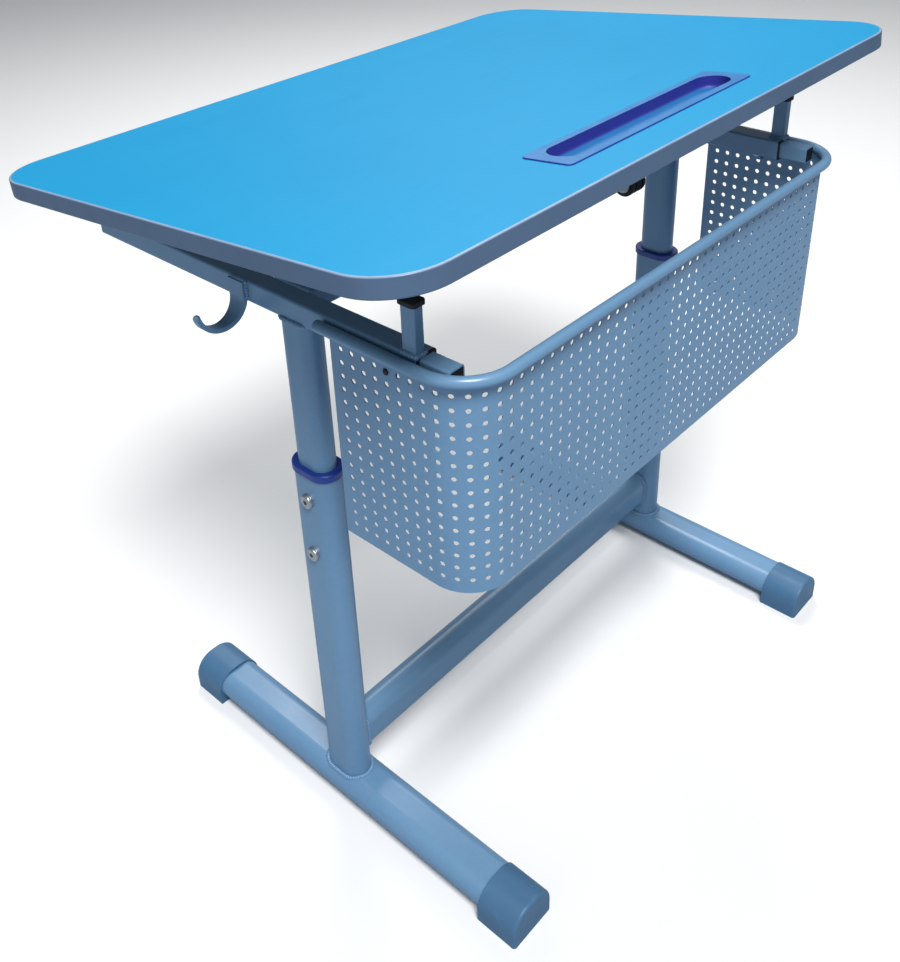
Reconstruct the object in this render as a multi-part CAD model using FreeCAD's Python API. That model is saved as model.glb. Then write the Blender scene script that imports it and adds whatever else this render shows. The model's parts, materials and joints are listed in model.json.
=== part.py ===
import FreeCAD, Part
import math
import os

from FreeCAD import Rotation
from FreeCAD import Vector as V

# Height-adjustable school desk with a tilting top and a perforated-screen guard.
#
# Frame: +X is the user's right, +Y points away from the user, +Z is up, the floor is z = 0.
# The model is built about the plane through both legs and moved at the end, so that the
# origin is on the floor under the middle of the desk's outline.

# ---------------------------------------------------------------- driving dimensions (mm)
TOP_WIDTH = 720.0          # tabletop, left to right
TOP_DEPTH = 510.0          # tabletop, user edge to far edge
TOP_THICK = 16.0
TOP_CORNER = 50.0          # corner radius seen from above
SKIN = 0.8                 # laminate and backing thickness
BAND = 2.0                 # edge band thickness
REST_TILT = 6.0            # tilt of the top at rest, degrees

FRAME_HEIGHT = 582.0       # floor to the top of the side rails
RAIL_SPACING = 540.0       # between the two rail centre planes
LEG_SPACING = RAIL_SPACING - 2     # between the two leg centre planes
RAIL_FRONT = -272.0        # user end of the side rails, from the leg plane
RAIL_REAR = 138.0          # far end of the side rails
RAIL = 20.0                # square rail tube
WALL = 1.5                 # wall of the frame tubes
THIN_WALL = 1.2            # wall of the light tubes

OUTER_LONG = 48.0          # flat-oval tube of feet, lower legs and stretcher
OUTER_SHORT = 30.0
INNER_LONG = OUTER_LONG - 10       # flat-oval tube of the upper legs
INNER_SHORT = OUTER_SHORT - 6
LOWER_TOP = 411.0          # floor to the top of the lower leg tubes
UPPER_FOOT = 172.0         # floor to the lower end of the upper leg tubes
LIFT_DOWN = 110.0          # travel of the height adjustment below the rest height
LIFT_UP = 120.0            # and above it

FOOT_LENGTH = 470.0        # floor runner over its end caps
FOOT_AHEAD = 4.0           # leg plane forward to the middle of the runner
FOOT_CLEAR = 5.0           # floor to the underside of the runner tube
CAP_LENGTH = 44.0
CAP_WALL = 3.0
CAP_RISE = 4.0             # top of the runner tube up to the top of the cap
CAP_ARCH = 0.435           # radius of the cap's shoulders, as a share of its width
CAP_OVERLAP = 37.0         # how far the runner tube enters its cap
STRETCHER_Z = 72.0         # height of the stretcher's centre

COLLAR_RING = 7.0          # visible ring of the sliding collar
COLLAR_PROUD = 1.8
COLLAR_SLEEVE = 112.0      # sleeve inside the lower leg
SLIDE_GAP = 0.3            # clearance between pieces that slide past each other
CLAMP_DROP = 27.0          # tube top down to the upper clamp screw
CLAMP_PITCH = 60.0         # between the two clamp screws
CLAMP_R = 4.0
CLAMP_HEAD_R = 7.0
CLAMP_HEAD = 4.0

HINGE_SETBACK = 40.0       # user edge of the top back to the hinge axis
HINGE_DROP = 15.3          # underside of the top down to the hinge axis
HINGE_RISE = 29.0          # top of the rail up to the hinge axis
PIN_R = 3.0
RUN_GAP = 0.05             # radial running clearance of a pivot
STEEL = 2.5                # bracket plate thickness
EAR_R = 7.0                # hinge ears
EAR_SETBACK = 2.0          # sides of the rail in to the hinge ears
BRACKET_REAR = 12.0        # hinge axis back to the end of the bracket's base
KNUCKLE_R = 6.5
KNUCKLE_GAP = 0.4          # knuckle to each ear
PIN_HEAD = 1.8
LEAF_HALF = 18.0           # hinge leaf: half its width, and its reach either side of the axis
LEAF_USER = 16.0
LEAF_FAR = 44.0
SCREW_INSET = 7.0          # leaf edge in to the wood screws
SCREW_R = 1.9              # wood screws
SCREW_REACH = 12.0
SCREW_HEAD_R = 3.6
SCREW_HEAD = 1.8

POST_X = 10.0              # rest post tube, left to right
POST_Y = 14.0
REST_GAP = 0.3             # post cap to the underside of the top laid flat
POST_CAP = 4.0
POST_CAP_LIP = 2.0

CROSSBAR_Y = -18.0         # centre of the top crossbar
CROSSBAR_DEPTH = 40.0

STAY_BASE_RISE = 20.0      # crossbar top up to the lower stay pivot
STAY_TOP_SETBACK = 148.0   # hinge axis back to the upper stay pivot, along the top
STAY_TOP_DROP = 11.0       # underside of the top down to the upper stay pivot
STAY_BAR = 12.0            # height of the stay bars
STAY_THICK = 3.0
STAY_PLAY = 1.0            # between stay pieces that turn beside each other
FOOT_PLATE = 14.0          # foot bracket: half length, side flanges, ears
FOOT_FLANGE = 6.0
FOOT_EAR_R = 8.0
HEAD_PLATE_X = 18.0        # top bracket: half sizes, ears, screw spacing
HEAD_PLATE_Y = 22.0
HEAD_EAR_R = 6.0
HEAD_SCREW_X = 11.0
HEAD_SCREW_Y = 16.0
OPEN_PIVOT_GAP = 0.3       # radial clearance of the upper stay pivot
HUB_R = 10.5               # round cheeks of the knee
KNEE_GAP = 1.5             # play between the knee's drum and its cheeks

SCREEN_X = RAIL_SPACING / 2 + RAIL / 2 + 2     # middle of the end panels' sheet
SCREEN_Y = 190.0           # middle of the far panel's sheet
SCREEN_FRONT = 48.0        # user-side edges of the end panels
SCREEN_BOTTOM = FRAME_HEIGHT - 205.5
SCREEN_R = 40.0            # corner radius at the middle of the sheet
SHEET = 1.0
RIM_R = 5.0                # rim tube
RIM_Z = FRAME_HEIGHT - 7
RIM_FRONT = 38.0
RIM_OUT = 4.0              # rim centre outside the middle of the sheet
STUB = RAIL - 2 * WALL - 1         # tubes that plug the guard into the rails
BUSH_FLANGE = 1.4          # the bushing's flange at the rail's mouth
STUB_END = SCREEN_Y - 22
STUB_IN = 32.0             # how far a stub enters its rail
GUARD_SCREW_Y = 108.5
GUARD_SCREW_DROP = 2.5     # underside of the rail down to the screw
GUARD_SCREW_R = 2.0
GUARD_HEAD_R = 2.6
GUARD_HEAD = 1.4
TAB_WIDTH = 9.0            # steel tab under the rail that the guard is screwed to
TAB_THICK = 6.0
TAB_DROP = 10.0

TRAY_LENGTH = 270.0
TRAY_WIDTH = 48.0
TRAY_EDGE = 38.0           # far edge of the top to the tray
TRAY_FLANGE = 1.4
TRAY_POCKET_LENGTH = 246.0
TRAY_POCKET_WIDTH = 33.0
TRAY_DEPTH = 10.0
TRAY_WALL = 1.5

HOOK_Y = -63.5
HOOK_WIDTH = 19.0
HOOK_TIP_WIDTH = 6.0
HOOK_THICK = 4.0
HOOK_R = 22.0
HOOK_RISE = 5.0            # underside of the rail up to the centre of the bend
HOOK_SWEEP = 168.0         # how far the strip turns, degrees

# ---------------------------------------------------------------- values worked out from them
LEG_X = LEG_SPACING / 2
RAIL_X = RAIL_SPACING / 2
RAIL_OUT = RAIL_X + RAIL / 2
RAIL_BOTTOM = FRAME_HEIGHT - RAIL
FOOT_TOP = FOOT_CLEAR + OUTER_SHORT
FOOT_CENTRE_Z = FOOT_CLEAR + OUTER_SHORT / 2

HINGE_Y = RAIL_FRONT + 10.0
HINGE_Z = FRAME_HEIGHT + HINGE_RISE
UNDER_FLAT = HINGE_Z + HINGE_DROP            # underside of the top when it lies flat
UPPER_FLAT = UNDER_FLAT + TOP_THICK
TOP_USER = HINGE_Y - HINGE_SETBACK
TOP_FAR = TOP_USER + TOP_DEPTH
POST_TOP = UNDER_FLAT - REST_GAP             # top of the post caps

STAY_A = V(0, CROSSBAR_Y, FRAME_HEIGHT + STAY_BASE_RISE)
STAY_B = V(0, HINGE_Y + STAY_TOP_SETBACK, UNDER_FLAT - STAY_TOP_DROP)      # top laid flat
HINGE = V(0, HINGE_Y, HINGE_Z)
X_AXIS = V(1, 0, 0)
Y_AXIS = V(0, 1, 0)
Z_AXIS = V(0, 0, 1)

OUTLINE_USER = -HINGE_Y + HINGE_SETBACK * math.cos(math.radians(REST_TILT)) \
    + (HINGE_DROP + TOP_THICK) * math.sin(math.radians(REST_TILT))
LEG_PLANE_Y = (OUTLINE_USER - FOOT_LENGTH / 2 - FOOT_AHEAD) / 2
SIDES = {"left": -1, "right": 1}


# ---------------------------------------------------------------- helpers
def box(x0, x1, y0, y1, z0, z1):
    """A box between two corners."""
    return Part.makeBox(x1 - x0, y1 - y0, z1 - z0, V(x0, y0, z0))


def rod(start, axis, length, radius):
    """A cylinder from its first end along an axis."""
    return Part.makeCylinder(radius, length, start, axis)


def cross_rod(centre, length, radius):
    """A cylinder along X about its middle point."""
    return rod(centre - X_AXIS * (length / 2), X_AXIS, length, radius)


def rounded_wire(width, height, radius, centre=V(0, 0, 0)):
    """A rounded rectangle in the XY plane, as tangent lines and arcs."""
    a, b, r = width / 2, height / 2, radius
    c = r * math.sqrt(0.5)
    corners = [(a, b, 1, 1), (-a, b, -1, 1), (-a, -b, -1, -1), (a, -b, 1, -1)]
    edges = []
    last = None
    for x, y, sx, sy in corners:
        centre_pt = V(x - sx * r, y - sy * r, 0)
        first = V(x, y - sy * r, 0) if sx == sy else V(x - sx * r, y, 0)
        final = V(x - sx * r, y, 0) if sx == sy else V(x, y - sy * r, 0)
        if last is not None and (last - first).Length > 1e-6:
            edges.append(Part.makeLine(last, first))
        edges.append(Part.Arc(first, centre_pt + V(sx * c, sy * c, 0), final).toShape())
        last = final
    start = V(a, b - r, 0)
    if (last - start).Length > 1e-6:
        edges.append(Part.makeLine(last, start))
    wire = Part.Wire(edges)
    wire.translate(centre)
    return wire


def plate(width, height, radius, z0, z1, centre=V(0, 0, 0)):
    """A rounded plate standing between two heights."""
    face = Part.Face(rounded_wire(width, height, radius, centre + Z_AXIS * z0))
    return face.extrude(Z_AXIS * (z1 - z0))


def tube(width, height, radius, wall, length):
    """A rounded tube along +Z from the origin, open at both ends."""
    outer = plate(width, height, radius, 0, length)
    inner = plate(width - 2 * wall, height - 2 * wall, max(radius - wall, 0.4), -1, length + 1)
    return outer.cut(inner)


def lay_along_y(shape, start):
    """Turn a piece made along +Z so that it runs along +Y; its Y size becomes its height."""
    turned = shape.copy()
    turned.rotate(V(0, 0, 0), X_AXIS, -90)
    turned.translate(start)
    return turned


def lay_along_x(shape, start):
    """Turn a piece made along +Z so that it runs along +X; its X size becomes its height."""
    turned = shape.copy()
    turned.rotate(V(0, 0, 0), Y_AXIS, 90)
    turned.translate(start)
    return turned


def tilted(shape):
    """Turn a piece of the flat top about the hinge axis to its rest tilt."""
    turned = shape.copy()
    turned.rotate(HINGE, X_AXIS, REST_TILT)
    return turned


def soften(shape, edges, radius):
    """Round the given edges."""
    return shape.makeFillet(radius, edges)


def edges_where(shape, test):
    """The edges whose middle point passes a test."""
    return [e for e in shape.Edges if test(e.valueAt((e.FirstParameter + e.LastParameter) / 2))]


def mirrored(shape):
    """The same piece on the other side of the desk."""
    return shape.mirror(V(0, 0, 0), X_AXIS)


def sided(name, right_shape):
    """Save a right-hand piece and its left-hand twin as two nodes."""
    save(name + "_right", right_shape)
    save(name + "_left", mirrored(right_shape))


def save(name, shape):
    """Write one node, moved from the leg plane to the desk's own origin."""
    placed = shape.copy()
    placed.translate(V(0, LEG_PLANE_Y, 0))
    placed.exportStep("parts/" + name + ".step")


# ---------------------------------------------------------------- base: feet, lower legs, stretcher
def oval_solid(long_side, short_side, z0, z1, centre):
    """A solid flat-oval bar standing up, its long side along Y."""
    return plate(short_side, long_side, short_side / 2, z0, z1, centre)


def foot_bar(inset):
    """The solid of the right runner tube, grown or shrunk by an inset, as long as the tube."""
    length = FOOT_LENGTH - 2 * (CAP_LENGTH - CAP_OVERLAP)
    bar = plate(OUTER_LONG - 2 * inset, OUTER_SHORT - 2 * inset, OUTER_SHORT / 2 - inset, 0, length)
    return lay_along_y(bar, V(LEG_X, FOOT_AHEAD - length / 2, FOOT_CENTRE_Z))


def foot_tube():
    """A flat-oval runner tube, laid flat."""
    return foot_bar(0).cut(foot_bar(WALL))


def foot_cap(direction):
    """A moulded end cap: arched over the tube, upright below, flat on the floor."""
    width = OUTER_LONG + 2 * CAP_WALL
    height = FOOT_TOP + CAP_RISE
    block = box(LEG_X - width / 2, LEG_X + width / 2, 0, CAP_LENGTH, 0, height)
    shoulders = edges_where(block, lambda p: p.z > height - 0.1 and abs(abs(p.x - LEG_X) - width / 2) < 0.1)
    block = soften(block, shoulders, width * CAP_ARCH)
    toe = edges_where(block, lambda p: p.y > CAP_LENGTH - 0.1 and p.z > 0.1)
    block = soften(block, toe, CAP_WALL * 1.1)
    block.translate(Y_AXIS * (FOOT_LENGTH / 2 - CAP_LENGTH))
    if direction < 0:
        block = block.mirror(V(0, 0, 0), Y_AXIS)
    block.translate(Y_AXIS * FOOT_AHEAD)
    return block.cut(foot_bar(0))


def lower_leg():
    """The outer leg tube, coped onto the runner, with two threaded clamp holes."""
    outer = oval_solid(OUTER_LONG, OUTER_SHORT, FOOT_CENTRE_Z, LOWER_TOP, V(LEG_X, 0, 0))
    inner = oval_solid(OUTER_LONG - 2 * WALL, OUTER_SHORT - 2 * WALL, 0, LOWER_TOP + 1, V(LEG_X, 0, 0))
    leg = outer.cut(inner).cut(foot_bar(0))
    for z in clamp_heights():
        leg = leg.cut(rod(V(LEG_X, 0, z), X_AXIS, OUTER_SHORT, CLAMP_R))
    return leg


def clamp_heights():
    """Heights of the two clamp screws on each leg."""
    return [LOWER_TOP - CLAMP_DROP, LOWER_TOP - CLAMP_DROP - CLAMP_PITCH]


def clamp_screws(side):
    """Socket screws whose tips bear on the upper leg tube."""
    tip = LEG_X + INNER_SHORT / 2 + SLIDE_GAP
    seat = LEG_X + OUTER_SHORT / 2
    screws = []
    for z in clamp_heights():
        shank = rod(V(tip, 0, z), X_AXIS, seat - tip, CLAMP_R)
        head = rod(V(seat, 0, z), X_AXIS, CLAMP_HEAD, CLAMP_HEAD_R)
        rim = edges_where(head, lambda p: p.x > seat + CLAMP_HEAD - 0.1)
        head = soften(head, rim, CLAMP_HEAD * 0.45)
        socket = Part.Face(Part.makePolygon(
            [V(seat + CLAMP_HEAD * 0.4, CLAMP_R * 0.62 * math.cos(a), z + CLAMP_R * 0.62 * math.sin(a))
             for a in [math.radians(60 * i) for i in range(7)]]))
        screws.append(shank.fuse(head).cut(socket.extrude(X_AXIS * CLAMP_HEAD)).removeSplitter())
    both = Part.makeCompound(screws)
    return both if side > 0 else mirrored(both)


def stretcher():
    """The upright flat-oval tube between the lower legs, coped to both."""
    length = LEG_SPACING
    bar = plate(OUTER_LONG, OUTER_SHORT, OUTER_SHORT / 2, 0, length)
    bore = plate(OUTER_LONG - 2 * WALL, OUTER_SHORT - 2 * WALL, OUTER_SHORT / 2 - WALL, -1, length + 1)
    bar = lay_along_x(bar.cut(bore), V(-length / 2, 0, STRETCHER_Z))
    for side in SIDES.values():
        leg = oval_solid(OUTER_LONG, OUTER_SHORT, 0, LOWER_TOP, V(side * LEG_X, 0, 0))
        bar = bar.cut(leg)
    return bar


def leg_collar():
    """Plastic ring on the lower leg's mouth, with a sleeve that guides the upper leg."""
    ring = oval_solid(OUTER_LONG + 2 * COLLAR_PROUD, OUTER_SHORT + 2 * COLLAR_PROUD,
                      LOWER_TOP, LOWER_TOP + COLLAR_RING, V(LEG_X, 0, 0))
    top = edges_where(ring, lambda p: p.z > LOWER_TOP + COLLAR_RING - 0.1)
    ring = soften(ring, top, COLLAR_PROUD * 0.8)
    sleeve = oval_solid(OUTER_LONG - 2 * WALL, OUTER_SHORT - 2 * WALL,
                        LOWER_TOP - COLLAR_SLEEVE, LOWER_TOP, V(LEG_X, 0, 0))
    bore = oval_solid(INNER_LONG + 2 * SLIDE_GAP, INNER_SHORT + 2 * SLIDE_GAP,
                      LOWER_TOP - COLLAR_SLEEVE - 1, LOWER_TOP + COLLAR_RING + 1, V(LEG_X, 0, 0))
    collar = ring.fuse(sleeve).cut(bore)
    for z in clamp_heights():
        collar = collar.cut(rod(V(LEG_X, 0, z), X_AXIS, OUTER_SHORT, CLAMP_R))
    return collar.removeSplitter()


# ---------------------------------------------------------------- upper frame
def upper_leg():
    """The inner leg tube, welded under its rail."""
    outer = oval_solid(INNER_LONG, INNER_SHORT, UPPER_FOOT, RAIL_BOTTOM, V(LEG_X, 0, 0))
    inner = oval_solid(INNER_LONG - 2 * WALL, INNER_SHORT - 2 * WALL, UPPER_FOOT - 1,
                       RAIL_BOTTOM - WALL, V(LEG_X, 0, 0))
    return outer.cut(inner)


def leg_glide():
    """Plastic shoe in the lower end of the upper leg, that fills the outer tube."""
    long_side = OUTER_LONG - 2 * WALL - 2 * SLIDE_GAP
    short_side = OUTER_SHORT - 2 * WALL - 2 * SLIDE_GAP
    shoe = oval_solid(long_side, short_side, UPPER_FOOT - 5, UPPER_FOOT, V(LEG_X, 0, 0))
    spigot = oval_solid(INNER_LONG - 2 * WALL, INNER_SHORT - 2 * WALL, UPPER_FOOT, UPPER_FOOT + 20,
                        V(LEG_X, 0, 0))
    return shoe.fuse(spigot)


def side_rail():
    """Square tube from the hinge to the rest post."""
    length = RAIL_REAR - RAIL_FRONT
    rail = tube(RAIL, RAIL, WALL * 1.4, WALL, length)
    return lay_along_y(rail, V(RAIL_X, RAIL_FRONT, FRAME_HEIGHT - RAIL / 2))


def rail_plug():
    """Plastic plug in the user end of a rail."""
    bore = RAIL - 2 * WALL
    plug = plate(bore, bore, WALL * 0.4, 0, 14)
    return lay_along_y(plug, V(RAIL_X, RAIL_FRONT, FRAME_HEIGHT - RAIL / 2))


def rail_bushing():
    """Plastic bushing in the far end of a rail, that holds the guard's stub tube."""
    bore = RAIL - 2 * WALL
    sleeve = plate(bore, bore, WALL * 0.4, 0, STUB_IN)
    flange = plate(RAIL, RAIL, WALL * 1.4, STUB_IN, STUB_IN + BUSH_FLANGE)
    hole = plate(STUB, STUB, WALL * 1.4, -1, STUB_IN + BUSH_FLANGE + 1)
    piece = sleeve.fuse(flange).cut(hole)
    return lay_along_y(piece, V(RAIL_X, RAIL_REAR - STUB_IN, FRAME_HEIGHT - RAIL / 2))


def top_crossbar():
    """Rectangular tube that joins the rails and carries the stay."""
    length = RAIL_SPACING - RAIL
    bar = tube(RAIL, CROSSBAR_DEPTH, WALL * 1.4, WALL, length)
    return lay_along_x(bar, V(-length / 2, CROSSBAR_Y, FRAME_HEIGHT - RAIL / 2))


def post_centre():
    """Plan position of the right rest post."""
    return V(RAIL_OUT - POST_X / 2, RAIL_REAR - POST_Y / 2, 0)


def rest_post():
    """Short upright tube that the flat top rests on, through its cap."""
    post = tube(POST_X, POST_Y, WALL, THIN_WALL, POST_TOP - POST_CAP - FRAME_HEIGHT)
    post.translate(post_centre() + Z_AXIS * FRAME_HEIGHT)
    return post


def post_cap():
    """Rubber cap, with a plug in the post."""
    width, depth = POST_X + 2 * POST_CAP_LIP, POST_Y + 2 * POST_CAP_LIP
    head = plate(width, depth, POST_CAP_LIP * 1.8, POST_TOP - POST_CAP, POST_TOP, post_centre())
    head = soften(head, edges_where(head, lambda p: p.z > POST_TOP - 0.1), 1.0)
    plug = plate(POST_X - 2 * THIN_WALL, POST_Y - 2 * THIN_WALL, 0.4,
                 POST_TOP - POST_CAP - 12, POST_TOP - POST_CAP, post_centre())
    return head.fuse(plug)


def hinge_bracket():
    """U bracket on the rail that carries the hinge pin."""
    ear_half = RAIL / 2 - EAR_SETBACK
    base = box(RAIL_X - ear_half, RAIL_X + ear_half, RAIL_FRONT, HINGE_Y + BRACKET_REAR,
               FRAME_HEIGHT, FRAME_HEIGHT + STEEL)
    bracket = base
    for x0 in (RAIL_X - ear_half, RAIL_X + ear_half - STEEL):
        ear = box(x0, x0 + STEEL, HINGE_Y - EAR_R, HINGE_Y + EAR_R, FRAME_HEIGHT + STEEL, HINGE_Z)
        top = rod(V(x0, HINGE_Y, HINGE_Z), X_AXIS, STEEL, EAR_R)
        bracket = bracket.fuse(ear).fuse(top)
    bore = cross_rod(V(RAIL_X, HINGE_Y, HINGE_Z), RAIL * 2, PIN_R)
    return bracket.removeSplitter().cut(bore)


def hinge_pin():
    """Headed pin of one hinge."""
    centre = V(RAIL_X, HINGE_Y, HINGE_Z)
    ear_half = RAIL / 2 - EAR_SETBACK
    pin = cross_rod(centre, 2 * ear_half, PIN_R)
    for side in (-1, 1):
        pin = pin.fuse(cross_rod(centre + X_AXIS * (side * (ear_half + PIN_HEAD / 2)), PIN_HEAD, PIN_R * 1.6))
    return pin.removeSplitter()


def stay_foot_bracket():
    """U bracket on the crossbar that carries the lower stay pivot."""
    inner = STAY_THICK / 2 + STAY_PLAY
    outer = inner + STEEL
    base_top = FRAME_HEIGHT + STEEL
    bracket = box(-outer - FOOT_FLANGE, outer + FOOT_FLANGE, CROSSBAR_Y - FOOT_PLATE, CROSSBAR_Y + FOOT_PLATE,
                  FRAME_HEIGHT, base_top)
    for x0 in (-outer, inner):
        ear = box(x0, x0 + STEEL, CROSSBAR_Y - FOOT_EAR_R, CROSSBAR_Y + FOOT_EAR_R, base_top, STAY_A.z)
        cap = rod(V(x0, CROSSBAR_Y, STAY_A.z), X_AXIS, STEEL, FOOT_EAR_R)
        bracket = bracket.fuse(ear).fuse(cap)
    return bracket.removeSplitter().cut(cross_rod(STAY_A, 60, PIN_R))


def stay_foot_pin():
    """Pin pressed in the stay's foot bracket."""
    outer = STAY_THICK / 2 + STAY_PLAY + STEEL
    return cross_rod(STAY_A, 2 * outer + 0.6, PIN_R)


def bag_hook():
    """Tapered strip hook on the outside of the right rail, ending in a ball."""
    steps = 9
    sweep = math.radians(HOOK_SWEEP)
    centre = V(RAIL_OUT + HOOK_THICK / 2 + HOOK_R, HOOK_Y, RAIL_BOTTOM + HOOK_RISE)
    root = box(RAIL_OUT, RAIL_OUT + HOOK_THICK, HOOK_Y - HOOK_WIDTH / 2, HOOK_Y + HOOK_WIDTH / 2,
               centre.z, FRAME_HEIGHT - 1)
    sections = []
    for i in range(steps):
        share = i / (steps - 1)
        turn = math.pi + sweep * share
        radial = V(math.cos(turn), 0, math.sin(turn))
        width = HOOK_WIDTH + (HOOK_TIP_WIDTH - HOOK_WIDTH) * share
        middle = centre + radial * HOOK_R
        corners = [middle + radial * (a * HOOK_THICK / 2) + Y_AXIS * (b * width / 2)
                   for a, b in ((-1, -1), (1, -1), (1, 1), (-1, 1), (-1, -1))]
        sections.append(Part.makePolygon(corners))
    bend = Part.makeLoft(sections, True, False)
    tip = centre + V(math.cos(math.pi + sweep), 0, math.sin(math.pi + sweep)) * HOOK_R
    ball = Part.makeSphere(HOOK_TIP_WIDTH * 0.52, tip)
    return root.fuse(bend).fuse(ball).removeSplitter()


# ---------------------------------------------------------------- guard: rim, stubs, sheet
def guard_path(offset, front, z):
    """The guard's U seen from above: up one end, round the far side and back, as a wire."""
    x, y, r = SCREEN_X + offset, SCREEN_Y + offset, SCREEN_R + offset
    c = r * (1 - math.sqrt(0.5))
    return Part.Wire([
        Part.makeLine(V(x, front, z), V(x, y - r, z)),
        Part.Arc(V(x, y - r, z), V(x - c, y - c, z), V(x - r, y, z)).toShape(),
        Part.makeLine(V(x - r, y, z), V(r - x, y, z)),
        Part.Arc(V(r - x, y, z), V(c - x, y - c, z), V(-x, y - r, z)).toShape(),
        Part.makeLine(V(-x, y - r, z), V(-x, front, z)),
    ])


def rim_sweep(radius):
    """A round bar along the rim's path."""
    path = guard_path(RIM_OUT, RIM_FRONT, RIM_Z)
    start = V(SCREEN_X + RIM_OUT, RIM_FRONT, RIM_Z)
    profile = Part.Wire([Part.makeCircle(radius, start, Y_AXIS)])
    return path.makePipeShell([profile], True, False)


def guard_rim():
    """Round tube along the top of the guard, closed at its two ends."""
    bore = rim_sweep(RIM_R - THIN_WALL)
    ends = [box(s * (SCREEN_X + RIM_OUT) - 9, s * (SCREEN_X + RIM_OUT) + 9,
                RIM_FRONT - 1, RIM_FRONT + 2, RIM_Z - 9, RIM_Z + 9) for s in (-1, 1)]
    for end in ends:
        bore = bore.cut(end)
    return rim_sweep(RIM_R).cut(bore)


def guard_sheet():
    """Thin sheet bent round the far corners, hung under the rim."""
    touch = math.sqrt(RIM_R ** 2 - (RIM_OUT - SHEET / 2) ** 2)
    top = RIM_Z - touch
    outer = guard_path(SHEET / 2, SCREEN_FRONT, SCREEN_BOTTOM)
    inner = guard_path(-SHEET / 2, SCREEN_FRONT, SCREEN_BOTTOM)
    ends = []
    for side in (1, -1):
        ends.append(Part.makeLine(V(side * (SCREEN_X + SHEET / 2), SCREEN_FRONT, SCREEN_BOTTOM),
                                  V(side * (SCREEN_X - SHEET / 2), SCREEN_FRONT, SCREEN_BOTTOM)))
    outline = Part.Wire(Part.sortEdges(outer.Edges + inner.Edges + ends)[0])
    sheet = Part.Face(outline).extrude(Z_AXIS * (top - SCREEN_BOTTOM))
    for side in (1, -1):
        sheet = sheet.cut(cross_rod(V(side * SCREEN_X, GUARD_SCREW_Y, guard_screw_z()), 6 * SHEET, GUARD_SCREW_R))
    return sheet


def guard_screw_z():
    """Height of the guard's fixing screws."""
    return RAIL_BOTTOM - GUARD_SCREW_DROP


def guard_tab():
    """Steel block under a rail that the guard is screwed to."""
    inner_face = SCREEN_X - SHEET / 2
    tab = box(inner_face - TAB_THICK, inner_face, GUARD_SCREW_Y - TAB_WIDTH / 2, GUARD_SCREW_Y + TAB_WIDTH / 2,
              RAIL_BOTTOM - TAB_DROP, RAIL_BOTTOM)
    return tab.cut(cross_rod(V(inner_face, GUARD_SCREW_Y, guard_screw_z()), 5 * TAB_THICK, GUARD_SCREW_R))


def guard_screw():
    """Pan-head screw through the sheet into its tab."""
    face = SCREEN_X + SHEET / 2
    z = guard_screw_z()
    shank = rod(V(face - SHEET - TAB_THICK, GUARD_SCREW_Y, z), X_AXIS, SHEET + TAB_THICK, GUARD_SCREW_R)
    head = rod(V(face, GUARD_SCREW_Y, z), X_AXIS, GUARD_HEAD, GUARD_HEAD_R)
    rim = edges_where(head, lambda p: p.x > face + GUARD_HEAD - 0.1)
    return shank.fuse(soften(head, rim, GUARD_HEAD * 0.6))


def guard_stub():
    """Square tube from the rail's bushing to the guard, coped onto its rim and sheet."""
    start = RAIL_REAR - STUB_IN
    stub = tube(STUB, STUB, WALL * 1.4, THIN_WALL, STUB_END - start)
    stub = lay_along_y(stub, V(RAIL_X, start, FRAME_HEIGHT - RAIL / 2))
    return stub.cut(rim_sweep(RIM_R)).cut(guard_sheet())


def stub_plug():
    """Plug in the open end of a stub tube."""
    bore = STUB - 2 * THIN_WALL
    plug = plate(bore, bore, WALL * 0.6, 0, 12)
    plug = lay_along_y(plug, V(RAIL_X, STUB_END - 12, FRAME_HEIGHT - RAIL / 2))
    return plug.cut(rim_sweep(RIM_R))


# ---------------------------------------------------------------- tilting top
TOP_CENTRE = V(0, (TOP_USER + TOP_FAR) / 2, 0)
TRAY_CENTRE = V(0, TOP_FAR - TRAY_EDGE - TRAY_WIDTH / 2, 0)


def tray_pocket(grow, z0, z1):
    """The tray's round-ended well as a solid, grown all round."""
    width = TRAY_POCKET_WIDTH + 2 * grow
    return plate(TRAY_POCKET_LENGTH + 2 * grow, width, width / 2 - 0.01, z0, z1, TRAY_CENTRE)


def top_slab(inset, z0, z1):
    """The top's rounded outline between two heights, moved in from the edge."""
    return plate(TOP_WIDTH - 2 * inset, TOP_DEPTH - 2 * inset, TOP_CORNER - inset, z0, z1, TOP_CENTRE)


def leaf_plate():
    """Plan size of the right hinge leaf: x from, x to, y from, y to."""
    return RAIL_X - LEAF_HALF, RAIL_X + LEAF_HALF, HINGE_Y - LEAF_USER, HINGE_Y + LEAF_FAR


def screw_points():
    """Where the wood screws go up into the board, in plan."""
    x0, x1, y0, y1 = leaf_plate()
    points = []
    for x in (x0 + SCREW_INSET, x1 - SCREW_INSET):
        for y in (y0 + SCREW_INSET, y1 - SCREW_INSET):
            points += [V(x, y, 0), V(-x, y, 0)]
    for x in (-HEAD_SCREW_X, HEAD_SCREW_X):
        for y in (STAY_B.y - HEAD_SCREW_Y, STAY_B.y + HEAD_SCREW_Y):
            points.append(V(x, y, 0))
    return points


def wood_screws():
    """Pan-head screws that hold the brackets to the board."""
    seat = UNDER_FLAT - STEEL
    screws = []
    for point in screw_points():
        head = rod(point + Z_AXIS * (seat - SCREW_HEAD), Z_AXIS, SCREW_HEAD, SCREW_HEAD_R)
        shank = rod(point + Z_AXIS * seat, Z_AXIS, SCREW_REACH, SCREW_R)
        screws.append(tilted(head.fuse(shank)))
    return Part.makeCompound(screws)


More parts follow.
